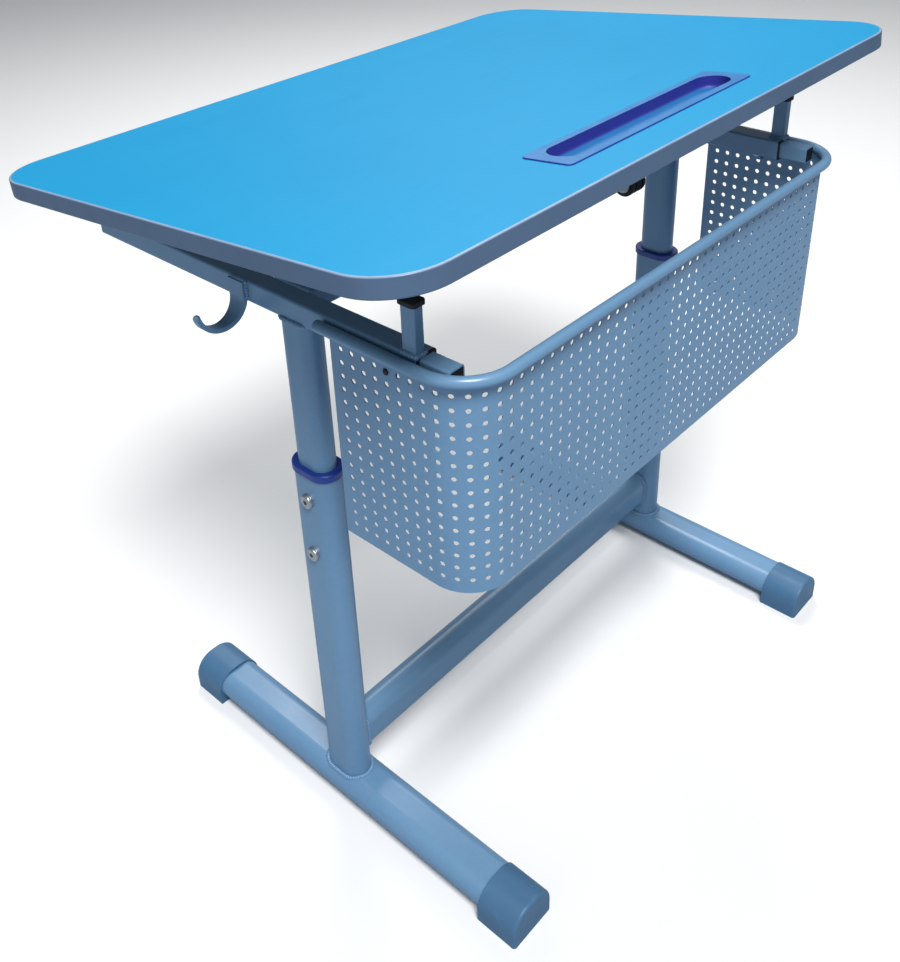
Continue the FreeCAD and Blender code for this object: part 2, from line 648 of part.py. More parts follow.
def screw_shanks():
    """The screws' shanks as cutting tools."""
    return Part.makeCompound([rod(p + Z_AXIS * (UNDER_FLAT - STEEL - 1), Z_AXIS, SCREW_REACH + 1, SCREW_R)
                              for p in screw_points()])


def top_board():
    """Particle board core with a pocket for the tray."""
    core = top_slab(BAND, UNDER_FLAT + SKIN, UPPER_FLAT - SKIN)
    well = tray_pocket(TRAY_WALL + SLIDE_GAP, UPPER_FLAT - TRAY_DEPTH - TRAY_WALL - SLIDE_GAP, UPPER_FLAT)
    return tilted(core.cut(well).cut(screw_shanks()))


def top_laminate():
    """Coloured laminate on the upper face."""
    sheet = top_slab(BAND, UPPER_FLAT - SKIN, UPPER_FLAT)
    hole = tray_pocket(TRAY_WALL + SLIDE_GAP, UPPER_FLAT - 2 * SKIN, UPPER_FLAT + 1)
    return tilted(sheet.cut(hole))


def top_backing():
    """Pale backing sheet on the underside."""
    sheet = top_slab(BAND, UNDER_FLAT, UNDER_FLAT + SKIN)
    return tilted(sheet.cut(screw_shanks()))


def edge_band():
    """Plastic band round the edge, its outer corners rounded."""
    ring = top_slab(0, UNDER_FLAT, UPPER_FLAT)
    outer = edges_where(ring, lambda p: p.z > UPPER_FLAT - 0.1 or p.z < UNDER_FLAT + 0.1)
    ring = soften(ring, outer, BAND * 0.7)
    return tilted(ring.cut(top_slab(BAND, UNDER_FLAT - 1, UPPER_FLAT + 1)))


def pen_tray():
    """Moulded pen tray: a thin flange and a round-ended well."""
    flange = plate(TRAY_LENGTH, TRAY_WIDTH, 5.0, UPPER_FLAT, UPPER_FLAT + TRAY_FLANGE, TRAY_CENTRE)
    flange = soften(flange, edges_where(flange, lambda p: p.z > UPPER_FLAT + TRAY_FLANGE - 0.1),
                    TRAY_FLANGE * 0.6)
    well = tray_pocket(TRAY_WALL, UPPER_FLAT - TRAY_DEPTH - TRAY_WALL, UPPER_FLAT)
    hollow = tray_pocket(0, UPPER_FLAT - TRAY_DEPTH, UPPER_FLAT + TRAY_FLANGE + 1)
    floor = edges_where(hollow, lambda p: p.z < UPPER_FLAT - TRAY_DEPTH + 0.1)
    hollow = soften(hollow, floor, TRAY_DEPTH * 0.4)
    return tilted(flange.fuse(well).cut(hollow))


def hinge_leaf():
    """Plate under the top with a lug that turns on the hinge pin."""
    x0, x1, y0, y1 = leaf_plate()
    lug_half = RAIL / 2 - EAR_SETBACK - STEEL - KNUCKLE_GAP
    leaf = box(x0, x1, y0, y1, UNDER_FLAT - STEEL, UNDER_FLAT)
    leaf = soften(leaf, edges_where(leaf, lambda p: abs(p.z - UNDER_FLAT + STEEL / 2) < 0.1), 4.0)
    lug = box(RAIL_X - lug_half, RAIL_X + lug_half, HINGE_Y - KNUCKLE_R, HINGE_Y + KNUCKLE_R, HINGE_Z, UNDER_FLAT)
    knuckle = cross_rod(V(RAIL_X, HINGE_Y, HINGE_Z), 2 * lug_half, KNUCKLE_R)
    leaf = leaf.fuse(lug).fuse(knuckle).removeSplitter()
    leaf = leaf.cut(cross_rod(V(RAIL_X, HINGE_Y, HINGE_Z), RAIL * 2, PIN_R + RUN_GAP))
    return tilted(leaf.cut(screw_shanks()))


def stay_top_bracket():
    """U bracket under the top that carries the upper stay pivot."""
    bracket = box(-HEAD_PLATE_X, HEAD_PLATE_X, STAY_B.y - HEAD_PLATE_Y, STAY_B.y + HEAD_PLATE_Y,
                  UNDER_FLAT - STEEL, UNDER_FLAT)
    bracket = bracket.cut(screw_shanks())
    inner = STAY_THICK / 2 + STAY_PLAY
    for x0 in (-inner - STEEL, inner):
        ear = box(x0, x0 + STEEL, STAY_B.y - HEAD_EAR_R, STAY_B.y + HEAD_EAR_R, STAY_B.z, UNDER_FLAT - STEEL)
        bracket = bracket.fuse(ear).fuse(rod(V(x0, STAY_B.y, STAY_B.z), X_AXIS, STEEL, HEAD_EAR_R))
    return tilted(bracket.removeSplitter().cut(cross_rod(STAY_B, 60, PIN_R)))


def stay_top_pin():
    """Pin pressed in the top bracket; the upper bars hang on its ends."""
    return tilted(cross_rod(STAY_B, 2 * fork_outer() + 1.0, PIN_R))


# ---------------------------------------------------------------- stay
def fork_inner():
    """Inner face of the upper stay bars, from the middle plane."""
    return STAY_THICK / 2 + STAY_PLAY + STEEL + STAY_PLAY


def fork_outer():
    """Outer face of the upper stay bars."""
    return fork_inner() + STAY_THICK


def rest_knee():
    """Knee of the stay at rest: the stay and the top make a parallelogram with the frame."""
    turned = Rotation(X_AXIS, REST_TILT).multVec(STAY_B - HINGE)
    return STAY_A + turned


def link(start, end, x0, x1, height):
    """A flat bar with round ends between two pivots."""
    run = end - start
    angle = math.degrees(math.atan2(run.z, run.y))
    bar = box(x0, x1, 0, run.Length, -height / 2, height / 2)
    bar.rotate(V(0, 0, 0), X_AXIS, angle)
    bar.translate(V(0, start.y, start.z))
    for end_point in (start, end):
        bar = bar.fuse(rod(V(x0, end_point.y, end_point.z), X_AXIS, x1 - x0, height / 2))
    return bar.removeSplitter()


def stay_lower_bar():
    """Single bar from the crossbar to the knee, with the knee's drum."""
    knee = rest_knee()
    bar = link(STAY_A, knee, -STAY_THICK / 2, STAY_THICK / 2, STAY_BAR)
    drum = cross_rod(knee, 2 * (fork_inner() - SLIDE_GAP - KNEE_GAP), HUB_R - 1)
    bar = bar.fuse(drum).removeSplitter()
    bar = bar.cut(cross_rod(STAY_A, 40, PIN_R + RUN_GAP))
    return bar.cut(cross_rod(knee, 40, PIN_R + 1 + RUN_GAP))


def stay_upper_bars():
    """Twin bars from the top bracket to the knee, joined by a spacer, with round cheeks."""
    knee = rest_knee()
    top = HINGE + Rotation(X_AXIS, REST_TILT).multVec(STAY_B - HINGE)
    fork = None
    for x0, x1 in ((-fork_outer(), -fork_inner()), (fork_inner(), fork_outer())):
        bar = link(top, knee, x0, x1, STAY_BAR)
        cheek = rod(V(x0, knee.y, knee.z), X_AXIS, x1 - x0, HUB_R)
        bar = bar.fuse(cheek)
        fork = bar if fork is None else fork.fuse(bar)
    middle = top + (knee - top) * 0.17
    spacer = cross_rod(middle, 2 * fork_inner(), STAY_BAR / 2 - 1)
    fork = fork.fuse(spacer).removeSplitter()
    fork = fork.cut(cross_rod(top, 60, PIN_R + OPEN_PIVOT_GAP))
    return fork.cut(cross_rod(knee, 60, PIN_R + 1))


def knee_rivet():
    """Bright rivet through the knee."""
    knee = rest_knee()
    rivet = cross_rod(knee, 2 * fork_outer(), PIN_R + 1)
    for side in (-1, 1):
        rivet = rivet.fuse(cross_rod(knee + X_AXIS * (side * (fork_outer() + 1.0)), 2.0, PIN_R * 2.2))
    return rivet.removeSplitter()


# ---------------------------------------------------------------- write every node
def main():
    """Build each piece and write it."""
    os.makedirs("parts", exist_ok=True)
    for name, direction in (("far", 1), ("user", -1)):
        sided("foot_cap_" + name, foot_cap(direction))
    sided("foot_tube", foot_tube())
    sided("lower_leg", lower_leg())
    sided("leg_collar", leg_collar())
    for name, side in SIDES.items():
        save("clamp_screws_" + name, clamp_screws(side))
    save("stretcher", stretcher())

    sided("upper_leg", upper_leg())
    sided("leg_glide", leg_glide())
    sided("side_rail", side_rail())
    sided("rail_plug", rail_plug())
    sided("rail_bushing", rail_bushing())
    save("top_crossbar", top_crossbar())
    sided("rest_post", rest_post())
    sided("post_cap", post_cap())
    sided("hinge_bracket", hinge_bracket())
    sided("hinge_pin", hinge_pin())
    save("stay_foot_bracket", stay_foot_bracket())
    save("stay_foot_pin", stay_foot_pin())
    save("bag_hook", bag_hook())

    save("guard_rim", guard_rim())
    save("guard_sheet", guard_sheet())
    sided("guard_stub", guard_stub())
    sided("stub_plug", stub_plug())
    sided("guard_tab", guard_tab())
    sided("guard_screw", guard_screw())

    save("top_board", top_board())
    save("top_laminate", top_laminate())
    save("top_backing", top_backing())
    save("edge_band", edge_band())
    save("pen_tray", pen_tray())
    sided("hinge_leaf", hinge_leaf())
    save("stay_top_bracket", stay_top_bracket())
    save("stay_top_pin", stay_top_pin())
    save("wood_screws", wood_screws())

    save("stay_lower_bar", stay_lower_bar())
    save("stay_upper_bars", stay_upper_bars())
    save("knee_rivet", knee_rivet())


main()
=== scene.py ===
"""Looks for a height-adjustable school desk with a tilting top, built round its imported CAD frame."""

from __future__ import annotations

import json
import logging
import math
from collections.abc import Iterable, Sequence
from dataclasses import dataclass
from enum import Enum
from typing import Any

import bmesh
import bpy
from mathutils import Matrix, Vector

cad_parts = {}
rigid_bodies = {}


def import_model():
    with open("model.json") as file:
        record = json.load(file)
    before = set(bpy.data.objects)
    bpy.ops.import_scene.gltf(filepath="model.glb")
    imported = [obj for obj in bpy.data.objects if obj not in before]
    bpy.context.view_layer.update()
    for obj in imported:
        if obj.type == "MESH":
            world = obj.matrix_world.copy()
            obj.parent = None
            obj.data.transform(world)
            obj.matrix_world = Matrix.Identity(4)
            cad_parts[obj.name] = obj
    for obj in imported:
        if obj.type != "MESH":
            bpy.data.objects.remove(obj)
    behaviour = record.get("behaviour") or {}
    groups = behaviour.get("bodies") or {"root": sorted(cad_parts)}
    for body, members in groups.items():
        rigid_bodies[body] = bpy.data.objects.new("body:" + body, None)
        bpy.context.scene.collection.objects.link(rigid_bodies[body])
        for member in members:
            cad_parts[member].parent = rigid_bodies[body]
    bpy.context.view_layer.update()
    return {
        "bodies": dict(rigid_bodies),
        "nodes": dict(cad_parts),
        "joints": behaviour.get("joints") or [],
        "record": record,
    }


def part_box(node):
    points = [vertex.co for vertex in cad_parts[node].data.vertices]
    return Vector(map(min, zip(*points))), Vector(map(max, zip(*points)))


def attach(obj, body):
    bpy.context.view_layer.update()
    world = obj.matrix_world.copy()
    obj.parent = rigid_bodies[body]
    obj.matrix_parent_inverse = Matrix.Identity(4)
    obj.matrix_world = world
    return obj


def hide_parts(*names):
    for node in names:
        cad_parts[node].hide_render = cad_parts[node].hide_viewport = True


log = logging.getLogger("desk")

MM = 0.001
MERGE = 0.01 * MM
SMOOTH_BELOW = 35.0
SIDES = ("left", "right")
Point = tuple[float, float, float]
Colour = tuple[float, float, float]
Socket = bpy.types.NodeSocket


class Body(str, Enum):
    """The desk's moving bodies that made pieces ride on."""

    BASE = "base"
    UPPER = "upper_frame"
    STAY_LOWER = "stay_lower"
    STAY_UPPER = "stay_upper"


class Slot(str, Enum):
    """The record's material slots that made pieces take their finish from."""

    PAINT = "frame_paint"
    BLACK = "black_plastic"
    ZINC = "zinc_steel"
    BLACK_STEEL = "black_steel"


# ------------------------------------------------------------------ node sheets
@dataclass(frozen=True)
class Patches:
    """Soft patches of one noise, and the part of its range that they use."""

    scale: float
    detail: float = 2.0
    blur: float = 0.5
    low: float = 0.3
    high: float = 0.7
    stretch: Point | None = None


@dataclass(frozen=True)
class Wear:
    """Patches of handling that polish a roughness down or scuff it up."""

    patches: Patches
    polish: float
    scuff: float


@dataclass(frozen=True)
class Grain:
    """Fine relief of one noise: how fine, how strong and how deep it is."""

    scale: float
    detail: float
    blur: float
    strength: float
    depth: float


class NodeSheet:
    """A node tree that nodes are added to one at a time."""

    tree: bpy.types.NodeTree

    def add(self, kind: str, inputs: dict[str | int, Any] | None = None,
            **settings: Any) -> bpy.types.Node:
        """Add a node.

        Args:
            kind: the node's type.
            inputs: values or sockets by input name or number.
            settings: the node's own properties.

        Returns:
            The new node.
        """
        node = self.tree.nodes.new(kind)
        for key, value in settings.items():
            setattr(node, key, value)
        for key, value in (inputs or {}).items():
            self.feed(node.inputs[key], value)
        return node

    def feed(self, socket: Socket, value: Any) -> None:
        """Link a socket, or set it to a value.

        Args:
            socket: the input to feed.
            value: another node's output, or a plain value.
        """
        if isinstance(value, bpy.types.NodeSocket):
            self.tree.links.new(value, socket)
        else:
            socket.default_value = value


class Shader(NodeSheet):
    """One node material round a Principled surface."""

    def __init__(self, name: str) -> None:
        """Make an empty material with its surface and output.

        Args:
            name: the material's name.
        """
        self.material = bpy.data.materials.new(name)
        self.material.use_nodes = True
        self.tree = self.material.node_tree
        self.tree.nodes.clear()
        self.surface = self.tree.nodes.new("ShaderNodeBsdfPrincipled")
        output = self.tree.nodes.new("ShaderNodeOutputMaterial")
        self.tree.links.new(self.surface.outputs[0], output.inputs[0])
        source = self.add("ShaderNodeTexCoord")
        self.place, self.facing = source.outputs["Object"], source.outputs["Normal"]

    def noise(self, scale: float, detail: float, blur: float, place: Socket) -> Socket:
        """A noise value from 0 to 1 at a place."""
        return self.add("ShaderNodeTexNoise", {"Vector": place, "Scale": scale, "Detail": detail,
                                               "Roughness": blur}).outputs["Fac"]

    def stretched(self, stretch: Point) -> Socket:
        """The piece's own coordinates stretched along its axes."""
        return self.add("ShaderNodeMapping", {"Vector": self.place, "Scale": stretch}).outputs[0]

    def ramp(self, value: Socket, low: float, high: float, start: float, end: float) -> Socket:
        """Map a value from one range to another, held at both ends."""
        node = self.add("ShaderNodeMapRange", {"Value": value, "From Min": low, "From Max": high,
                                               "To Min": start, "To Max": end})
        return node.outputs[0]

    def field(self, patches: Patches) -> Socket:
        """The noise under some patches, from 0 to 1."""
        place = self.stretched(patches.stretch) if patches.stretch else self.place
        return self.noise(patches.scale, patches.detail, patches.blur, place)

    def patchy(self, patches: Patches, start: float, end: float) -> Socket:
        """A value that goes from start to end in patches."""
        return self.ramp(self.field(patches), patches.low, patches.high, start, end)

    def worn(self, roughness: float, wear: Wear) -> Socket:
        """A roughness with its wear."""
        return self.patchy(wear.patches, roughness - wear.polish, roughness + wear.scuff)

    def blend(self, share: Socket | float, first: Socket | Colour,
              second: Socket | Colour) -> Socket:
        """Mix two colours.

        Args:
            share: how much of the second colour there is, from 0 to 1.
            first: a colour.
            second: the other colour.

        Returns:
            The mixed colour.
        """
        node = self.add("ShaderNodeMix", data_type="RGBA")
        self.feed(node.inputs[0], share)
        for socket, colour in ((node.inputs[6], first), (node.inputs[7], second)):
            made = isinstance(colour, bpy.types.NodeSocket)
            self.feed(socket, colour if made else (*colour, 1.0))
        return node.outputs[2]

    def upward(self, low: float, high: float) -> Socket:
        """How far the surface faces the piece's own top, from 0 at low to 1 at high."""
        split = self.add("ShaderNodeSeparateXYZ", {0: self.facing})
        return self.ramp(split.outputs[2], low, high, 0.0, 1.0)

    def bump(self, height: Socket, strength: float, depth: float) -> Socket:
        """A bumped normal."""
        return self.add("ShaderNodeBump", {"Height": height, "Strength": strength,
                                           "Distance": depth}).outputs[0]

    def relief(self, grain: Grain) -> Socket:
        """The bumped normal of a grain."""
        height = self.noise(grain.scale, grain.detail, grain.blur, self.place)
        return self.bump(height, grain.strength, grain.depth)

    def dress(self, **sockets: Any) -> bpy.types.Material:
        """Set the surface's sockets.

        Args:
            sockets: values or sockets by input name, with _ for a space.

        Returns:
            The material.
        """
        for key, value in sockets.items():
            name = key.replace("_", " ").title().replace("Ior", "IOR")
            self.feed(self.surface.inputs[name], value)
        return self.material


class GeoTree(NodeSheet):
    """One Geometry Nodes tree with named inputs."""

    def __init__(self, name: str) -> None:
        """Make a tree with its geometry in and out.

        Args:
            name: the tree's name.
        """
        self.tree = bpy.data.node_groups.new(name, "GeometryNodeTree")
        face = self.tree.interface
        face.new_socket("Geometry", in_out="INPUT", socket_type="NodeSocketGeometry")
        face.new_socket("Geometry", in_out="OUTPUT", socket_type="NodeSocketGeometry")
        self.entry = self.tree.nodes.new("NodeGroupInput")
        self.exit = self.tree.nodes.new("NodeGroupOutput")

    def size(self, name: str, kind: str = "NodeSocketFloat") -> Socket:
        """Add a named input, and give its socket inside the tree."""
        self.tree.interface.new_socket(name, in_out="INPUT", socket_type=kind)
        return self.entry.outputs[name]

    def place(self) -> Sequence[Socket]:
        """The x, y and z of each point."""
        spot = self.add("GeometryNodeInputPosition").outputs[0]
        return self.add("ShaderNodeSeparateXYZ", {0: spot}).outputs

    def math(self, operation: str, first: Any, second: Any = 0.0) -> Socket:
        """One arithmetic step."""
        return self.add("ShaderNodeMath", {0: first, 1: second}, operation=operation).outputs[0]

    def half(self, value: Socket) -> Socket:
        """Half of a number."""
        return self.math("MULTIPLY", value, 0.5)

    def choose(self, test: Socket, yes: Any, no: Any) -> Socket:
        """One of two numbers, by a test."""
        return self.add("GeometryNodeSwitch", {"Switch": test, "True": yes, "False": no},
                        input_type="FLOAT").outputs[0]

    def compare(self, first: Any, operation: str, second: Any) -> Socket:
        """A test on two numbers."""
        return self.add("FunctionNodeCompare", {"A": first, "B": second}, data_type="FLOAT",
                        operation=operation).outputs[0]

    def finish(self, geometry: Socket) -> bpy.types.NodeTree:
        """End in Realize Instances and Set Material.

        Args:
            geometry: what the tree made.

        Returns:
            The finished tree.
        """
        real = self.add("GeometryNodeRealizeInstances", {"Geometry": geometry})
        finish = self.size("Material", "NodeSocketMaterial")
        dressed = self.add("GeometryNodeSetMaterial", {"Geometry": real.outputs[0],
                                                       "Material": finish})
        self.feed(self.exit.inputs[0], dressed.outputs[0])
        return self.tree


# ------------------------------------------------------------------ meshes
def linked(name: str, mesh: bpy.types.Mesh) -> bpy.types.Object:
    """Put a mesh in the scene as an object at the origin.

    Args:
        name: the object's name.
        mesh: its mesh.

    Returns:
        The object.
    """
    piece = bpy.data.objects.new(name, mesh)
    bpy.context.scene.collection.objects.link(piece)
    return piece


def grown(piece: bpy.types.Object, tree: bpy.types.NodeTree,
          sizes: dict[str, Any]) -> bpy.types.Object:
    """Run a tree on a piece and keep its result as a plain mesh.

    Args:
        piece: the object that holds the tree's starting mesh.
        tree: the Geometry Nodes tree.
        sizes: the tree's inputs by name.

    Returns:
        The same object, with the made mesh and no modifier.
    """
    modifier = piece.modifiers.new("made", "NODES")
    modifier.node_group = tree
    for item in tree.interface.items_tree:
        if item.item_type == "SOCKET" and item.in_out == "INPUT" and item.name in sizes:
            modifier[item.identifier] = sizes[item.name]
    piece.update_tag()
    depsgraph = bpy.context.evaluated_depsgraph_get()
    made = bpy.data.meshes.new_from_object(piece.evaluated_get(depsgraph))
    piece.modifiers.remove(modifier)
    piece.data = made
    made.name = piece.name
    return piece


def outline_mesh(name: str, runs: Iterable[Sequence[Point]]) -> bpy.types.Object:
    """An object of bare edges along some runs of points.

    Args:
        name: the object's name.
        runs: the runs, each a list of points.

    Returns:
        The object.
    """
    points: list[Point] = []
    edges: list[tuple[int, int]] = []
    for run in runs:
        first = len(points)
        points += list(run)
        edges += [(i, i + 1) for i in range(first, len(points) - 1)]
    mesh = bpy.data.meshes.new(name)
    mesh.from_pydata(points, edges, [])
    return linked(name, mesh)


def tidy_mesh(piece: bpy.types.Object, smooth_below: float = SMOOTH_BELOW) -> bpy.types.Object:
    """Merge doubles, turn faces outwards and shade a piece smooth between its sharp edges.

    Args:
        piece: the object whose mesh is tidied.
        smooth_below: the angle in degrees from which an edge is sharp.

    Returns:
        The same object.
    """
    work = bmesh.new()
    work.from_mesh(piece.data)
    bmesh.ops.remove_doubles(work, verts=work.verts, dist=MERGE)
    bmesh.ops.recalc_face_normals(work, faces=work.faces)
    limit = math.radians(smooth_below)
    for edge in work.edges:
        edge.smooth = len(edge.link_faces) == 2 and edge.calc_face_angle(0.0) < limit
    for face in work.faces:
        face.smooth = True
    work.to_mesh(piece.data)
    work.free()
    return piece


@dataclass(frozen=True)
class Ring:
    """One ring of a turned piece: how far along its axis, and how wide."""

    rise: float
    radius: float
    hexagon: bool = False

    def reach(self, turn: float) -> float:
        """The ring's radius at an angle; a hexagon's radius is to the middle of its flats.

        Args:
            turn: the angle in radians.

        Returns:
            The radius.
        """
        if not self.hexagon:
            return self.radius
        sixth = math.pi / 3
        return self.radius / math.cos((turn % sixth) - sixth / 2)


def turned(work: bmesh.types.BMesh, foot: Vector, axis: Vector, rings: Sequence[Ring],
           segments: int = 24) -> None:
    """Add a closed turned piece to a mesh.

    Args:
        work: the mesh being made.
        foot: the point that the rings' rises start from.
        axis: the piece's direction.
        rings: its rings in order, from one end to the other.
        segments: how many sides a ring has.
    """
    side = axis.orthogonal().normalized()
    other = axis.cross(side).normalized()
    loops = []
    for ring in rings:
        turns = [2 * math.pi * i / segments for i in range(segments)]
        loops.append([work.verts.new(foot + axis * ring.rise
                                     + (side * math.cos(t) + other * math.sin(t)) * ring.reach(t))
                      for t in turns])
    for low, high in zip(loops, loops[1:]):
        for i in range(segments):
            j = (i + 1) % segments
            work.faces.new((low[i], low[j], high[j], high[i]))
    work.faces.new(list(reversed(loops[0])))
    work.faces.new(loops[-1])


def kept(name: str, work: bmesh.types.BMesh, finish: bpy.types.Material, body: Body) -> bpy.types.Object:
    """Turn a finished mesh into a piece that rides on a body.

    Args:
        name: the piece's name.
        work: the mesh, which is freed.
        finish: its material.
        body: the body it moves with.

    Returns:
        The piece.
    """
    mesh = bpy.data.meshes.new(name)
    work.to_mesh(mesh)
    work.free()
    mesh.materials.append(finish)
    piece = tidy_mesh(linked(name, mesh))
    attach(piece, body.value)
    log.info("%s: %d triangles", name, faces_of(mesh))
    return piece


def oval_run(long_side: float, short_side: float, steps: int = 14) -> list[tuple[float, float]]:
    """A flat-oval tube's outline.

    Args:
        long_side: the tube's width over its rounded ends.
        short_side: its width across its flats.
        steps: how many edges each rounded end has.

    Returns:
        The outline's points, as distances along its long and its short side.
    """
    radius = short_side / 2
    straight = (long_side - short_side) / 2
    points = []
    for end in (1, -1):
        for i in range(steps + 1):
            turn = math.pi * (i / steps - 0.5)
            points.append((end * (straight + radius * math.cos(turn)),
                           end * radius * math.sin(turn)))
    return points


def faces_of(mesh: bpy.types.Mesh) -> int:
    """How many triangles a mesh has."""
    mesh.calc_loop_triangles()
    return len(mesh.loop_triangles)


# ------------------------------------------------------------------ finishes
PLASTIC_FLOW = Patches(14.0, 4.0, 0.6, 0.3, 0.72)
PLASTIC_WEAR = Wear(Patches(55.0, 4.0), 0.07, 0.08)


def toned(colour: Colour, gain: float, lift: float = 0.0) -> Colour:
    """A colour made paler or darker."""
    return tuple(min(1.0, c * gain + lift) for c in colour)


@dataclass(frozen=True)
class PaintedSteel:
    """Powder coat on steel: fine orange peel, soft gloss and slow colour drift."""

    name: str
    colour: Colour
    shade: Colour
    roughness: float = 0.36
    specular: float = 0.5
    coat: float = 0.3
    coat_roughness: float = 0.22
    drift: Patches = Patches(5.5, 3.0)
    speck: Patches = Patches(240.0, low=0.35, high=0.75)
    speck_share: float = 0.1
    speck_gain: float = 1.25
    speck_lift: float = 0.02
    wear: Wear = Wear(Patches(38.0, 3.0), 0.05, 0.07)
    peel: Grain = Grain(330.0, 1.0, 0.4, 0.05, 0.3 * MM)

    def material(self) -> bpy.types.Material:
        """Make the finish.

        Returns:
            The material.
        """
        s = Shader(self.name)
        drift = s.patchy(self.drift, 0.0, 1.0)
        speck = s.patchy(self.speck, 0.0, self.speck_share)
        tone = s.blend(speck, s.blend(drift, self.colour, self.shade),
                       toned(self.colour, self.speck_gain, self.speck_lift))
        return s.dress(base_color=tone, roughness=s.worn(self.roughness, self.wear),
                       normal=s.relief(self.peel), coat_weight=self.coat,
                       coat_roughness=self.coat_roughness, specular_ior_level=self.specular)


@dataclass(frozen=True)
class MouldedPlastic:
    """Moulded plastic: fine spark grain, slight flow streaks and places worn by hands."""

    name: str
    colour: Colour
    shade: Colour
    roughness: float = 0.5
    grain: Grain = Grain(1500.0, 2.0, 0.6, 0.12, 0.15 * MM)
    coat: float = 0.0
    coat_roughness: float = 0.12
    flow: Patches = PLASTIC_FLOW
    rub: Patches = Patches(70.0, 5.0, 0.65, 0.55, 0.8)
    rub_share: float = 0.3
    rub_gain: float = 1.35
    rub_lift: float = 0.02
    wear: Wear = PLASTIC_WEAR

    def material(self) -> bpy.types.Material:
        """Make the finish.

        Returns:
            The material.
        """
        s = Shader(self.name)
        flow = s.patchy(self.flow, 0.0, 1.0)
        rub = s.patchy(self.rub, 0.0, self.rub_share)
        tone = s.blend(rub, s.blend(flow, self.colour, self.shade),
                       toned(self.colour, self.rub_gain, self.rub_lift))
        return s.dress(base_color=tone, roughness=s.worn(self.roughness, self.wear),
                       normal=s.relief(self.grain), coat_weight=self.coat,
                       coat_roughness=self.coat_roughness)


@dataclass(frozen=True)
class HighlitBand:
    """Edge band plastic with a painted highlight: paler along its upper rounding, where it faces up."""

    name: str
    colour: Colour
    shade: Colour
    rubbed: Colour
    roughness: float = 0.36
    specular: float = 0.4
    flow: Patches = PLASTIC_FLOW
    uneven: Patches = Patches(26.0, 3.0, 0.6, 0.25, 0.75)
    least_rub: float = 0.65
    rounding: tuple[float, float] = (0.3, 0.8)
    wear: Wear = PLASTIC_WEAR
    grain: Grain = Grain(1100.0, 2.0, 0.6, 0.06, 0.15 * MM)

    def material(self) -> bpy.types.Material:
        """Make the finish.

        Returns:
            The material.
        """
        s = Shader(self.name)
        flow = s.patchy(self.flow, 0.0, 1.0)
        # painted highlight: where the band's upper rounding faces up, its colour is mixed unevenly
        # towards a paler colour
        uneven = s.patchy(self.uneven, self.least_rub, 1.0)
        share = s.add("ShaderNodeMath", {0: s.upward(*self.rounding), 1: uneven},
                      operation="MULTIPLY").outputs[0]
        tone = s.blend(share, s.blend(flow, self.colour, self.shade), self.rubbed)
        return s.dress(base_color=tone, roughness=s.worn(self.roughness, self.wear),
                       normal=s.relief(self.grain), specular_ior_level=self.specular)


@dataclass(frozen=True)
class TrayPlastic:
    """Tray plastic with painted light: faces that look up take a painted lit clear blue, each wall a
    painted shade of deeper violet blue.
    """

    name: str
    flats: Colour
    walls: Colour
    roughness: float = 0.36
    specular: float = 0.3
    flow: Patches = Patches(18.0, 4.0, 0.6, 0.3, 0.72)
    flow_share: float = 0.35
    flow_gain: float = 0.8
    # how far a face must look up to move from the painted shade of a wall to the painted light of the
    # flats
    turning: tuple[float, float] = (0.55, 0.95)
    wear: Wear = Wear(Patches(60.0, 4.0), 0.06, 0.08)
    grain: Grain = Grain(1300.0, 2.0, 0.6, 0.08, 0.12 * MM)

    def material(self) -> bpy.types.Material:
        """Make the finish.

        Returns:
            The material.
        """
        s = Shader(self.name)
        flow = s.patchy(self.flow, 0.0, self.flow_share)
        flats = s.blend(flow, self.flats, toned(self.flats, self.flow_gain))
        # painted light and shade: the colour is mixed by how far the surface faces up, from painted
        # shade on each wall to painted lit blue on the flats
        return s.dress(base_color=s.blend(s.upward(*self.turning), self.walls, flats),
                       roughness=s.worn(self.roughness, self.wear),
                       normal=s.relief(self.grain), specular_ior_level=self.specular)


@dataclass(frozen=True)
class PlatedSteel:
    """Zinc or black plated steel with fine turning marks and handling stains."""

    name: str
    colour: Colour
    shade: Colour
    roughness: float
    metal: float = 1.0
    stain: Patches = Patches(160.0, 4.0, 0.6, 0.35, 0.7)
    marks: Patches = Patches(420.0, 3.0, 0.7, stretch=(0.25, 3.0, 3.0))
    marks_strength: float = 0.12
    marks_depth: float = 0.08 * MM
    polish: float = 0.08
    scuff: float = 0.14

    def material(self) -> bpy.types.Material:
        """Make the finish.

        Returns:
            The material.
        """
        s = Shader(self.name)
        tone = s.blend(s.patchy(self.stain, 0.0, 1.0), self.colour, self.shade)
        marks = s.field(self.marks)
        gloss = s.ramp(marks, self.marks.low, self.marks.high, self.roughness - self.polish,
                       self.roughness + self.scuff)
        return s.dress(base_color=tone, roughness=gloss, metallic=self.metal,
                       normal=s.bump(marks, self.marks_strength, self.marks_depth))


@dataclass(frozen=True)
class WeldPaint:
    """The frame's paint pooled over a weld: the same colours in finer patches, and lumpier."""

    name: str
    colour: Colour
    shade: Colour
    roughness: float = 0.3
    coat: float = 0.3
    coat_roughness: float = 0.2
    patch: Patches = Patches(260.0, 3.0, 0.6, 0.35, 0.7)
    lumps: Grain = Grain(900.0, 3.0, 0.6, 0.35, 0.3 * MM)

    def material(self) -> bpy.types.Material:
        """Make the finish.

        Returns:
            The material.
        """
        s = Shader(self.name)
        tone = s.blend(s.patchy(self.patch, 0.0, 1.0), self.colour, self.shade)
        return s.dress(base_color=tone, roughness=self.roughness, normal=s.relief(self.lumps),
                       coat_weight=self.coat, coat_roughness=self.coat_roughness)


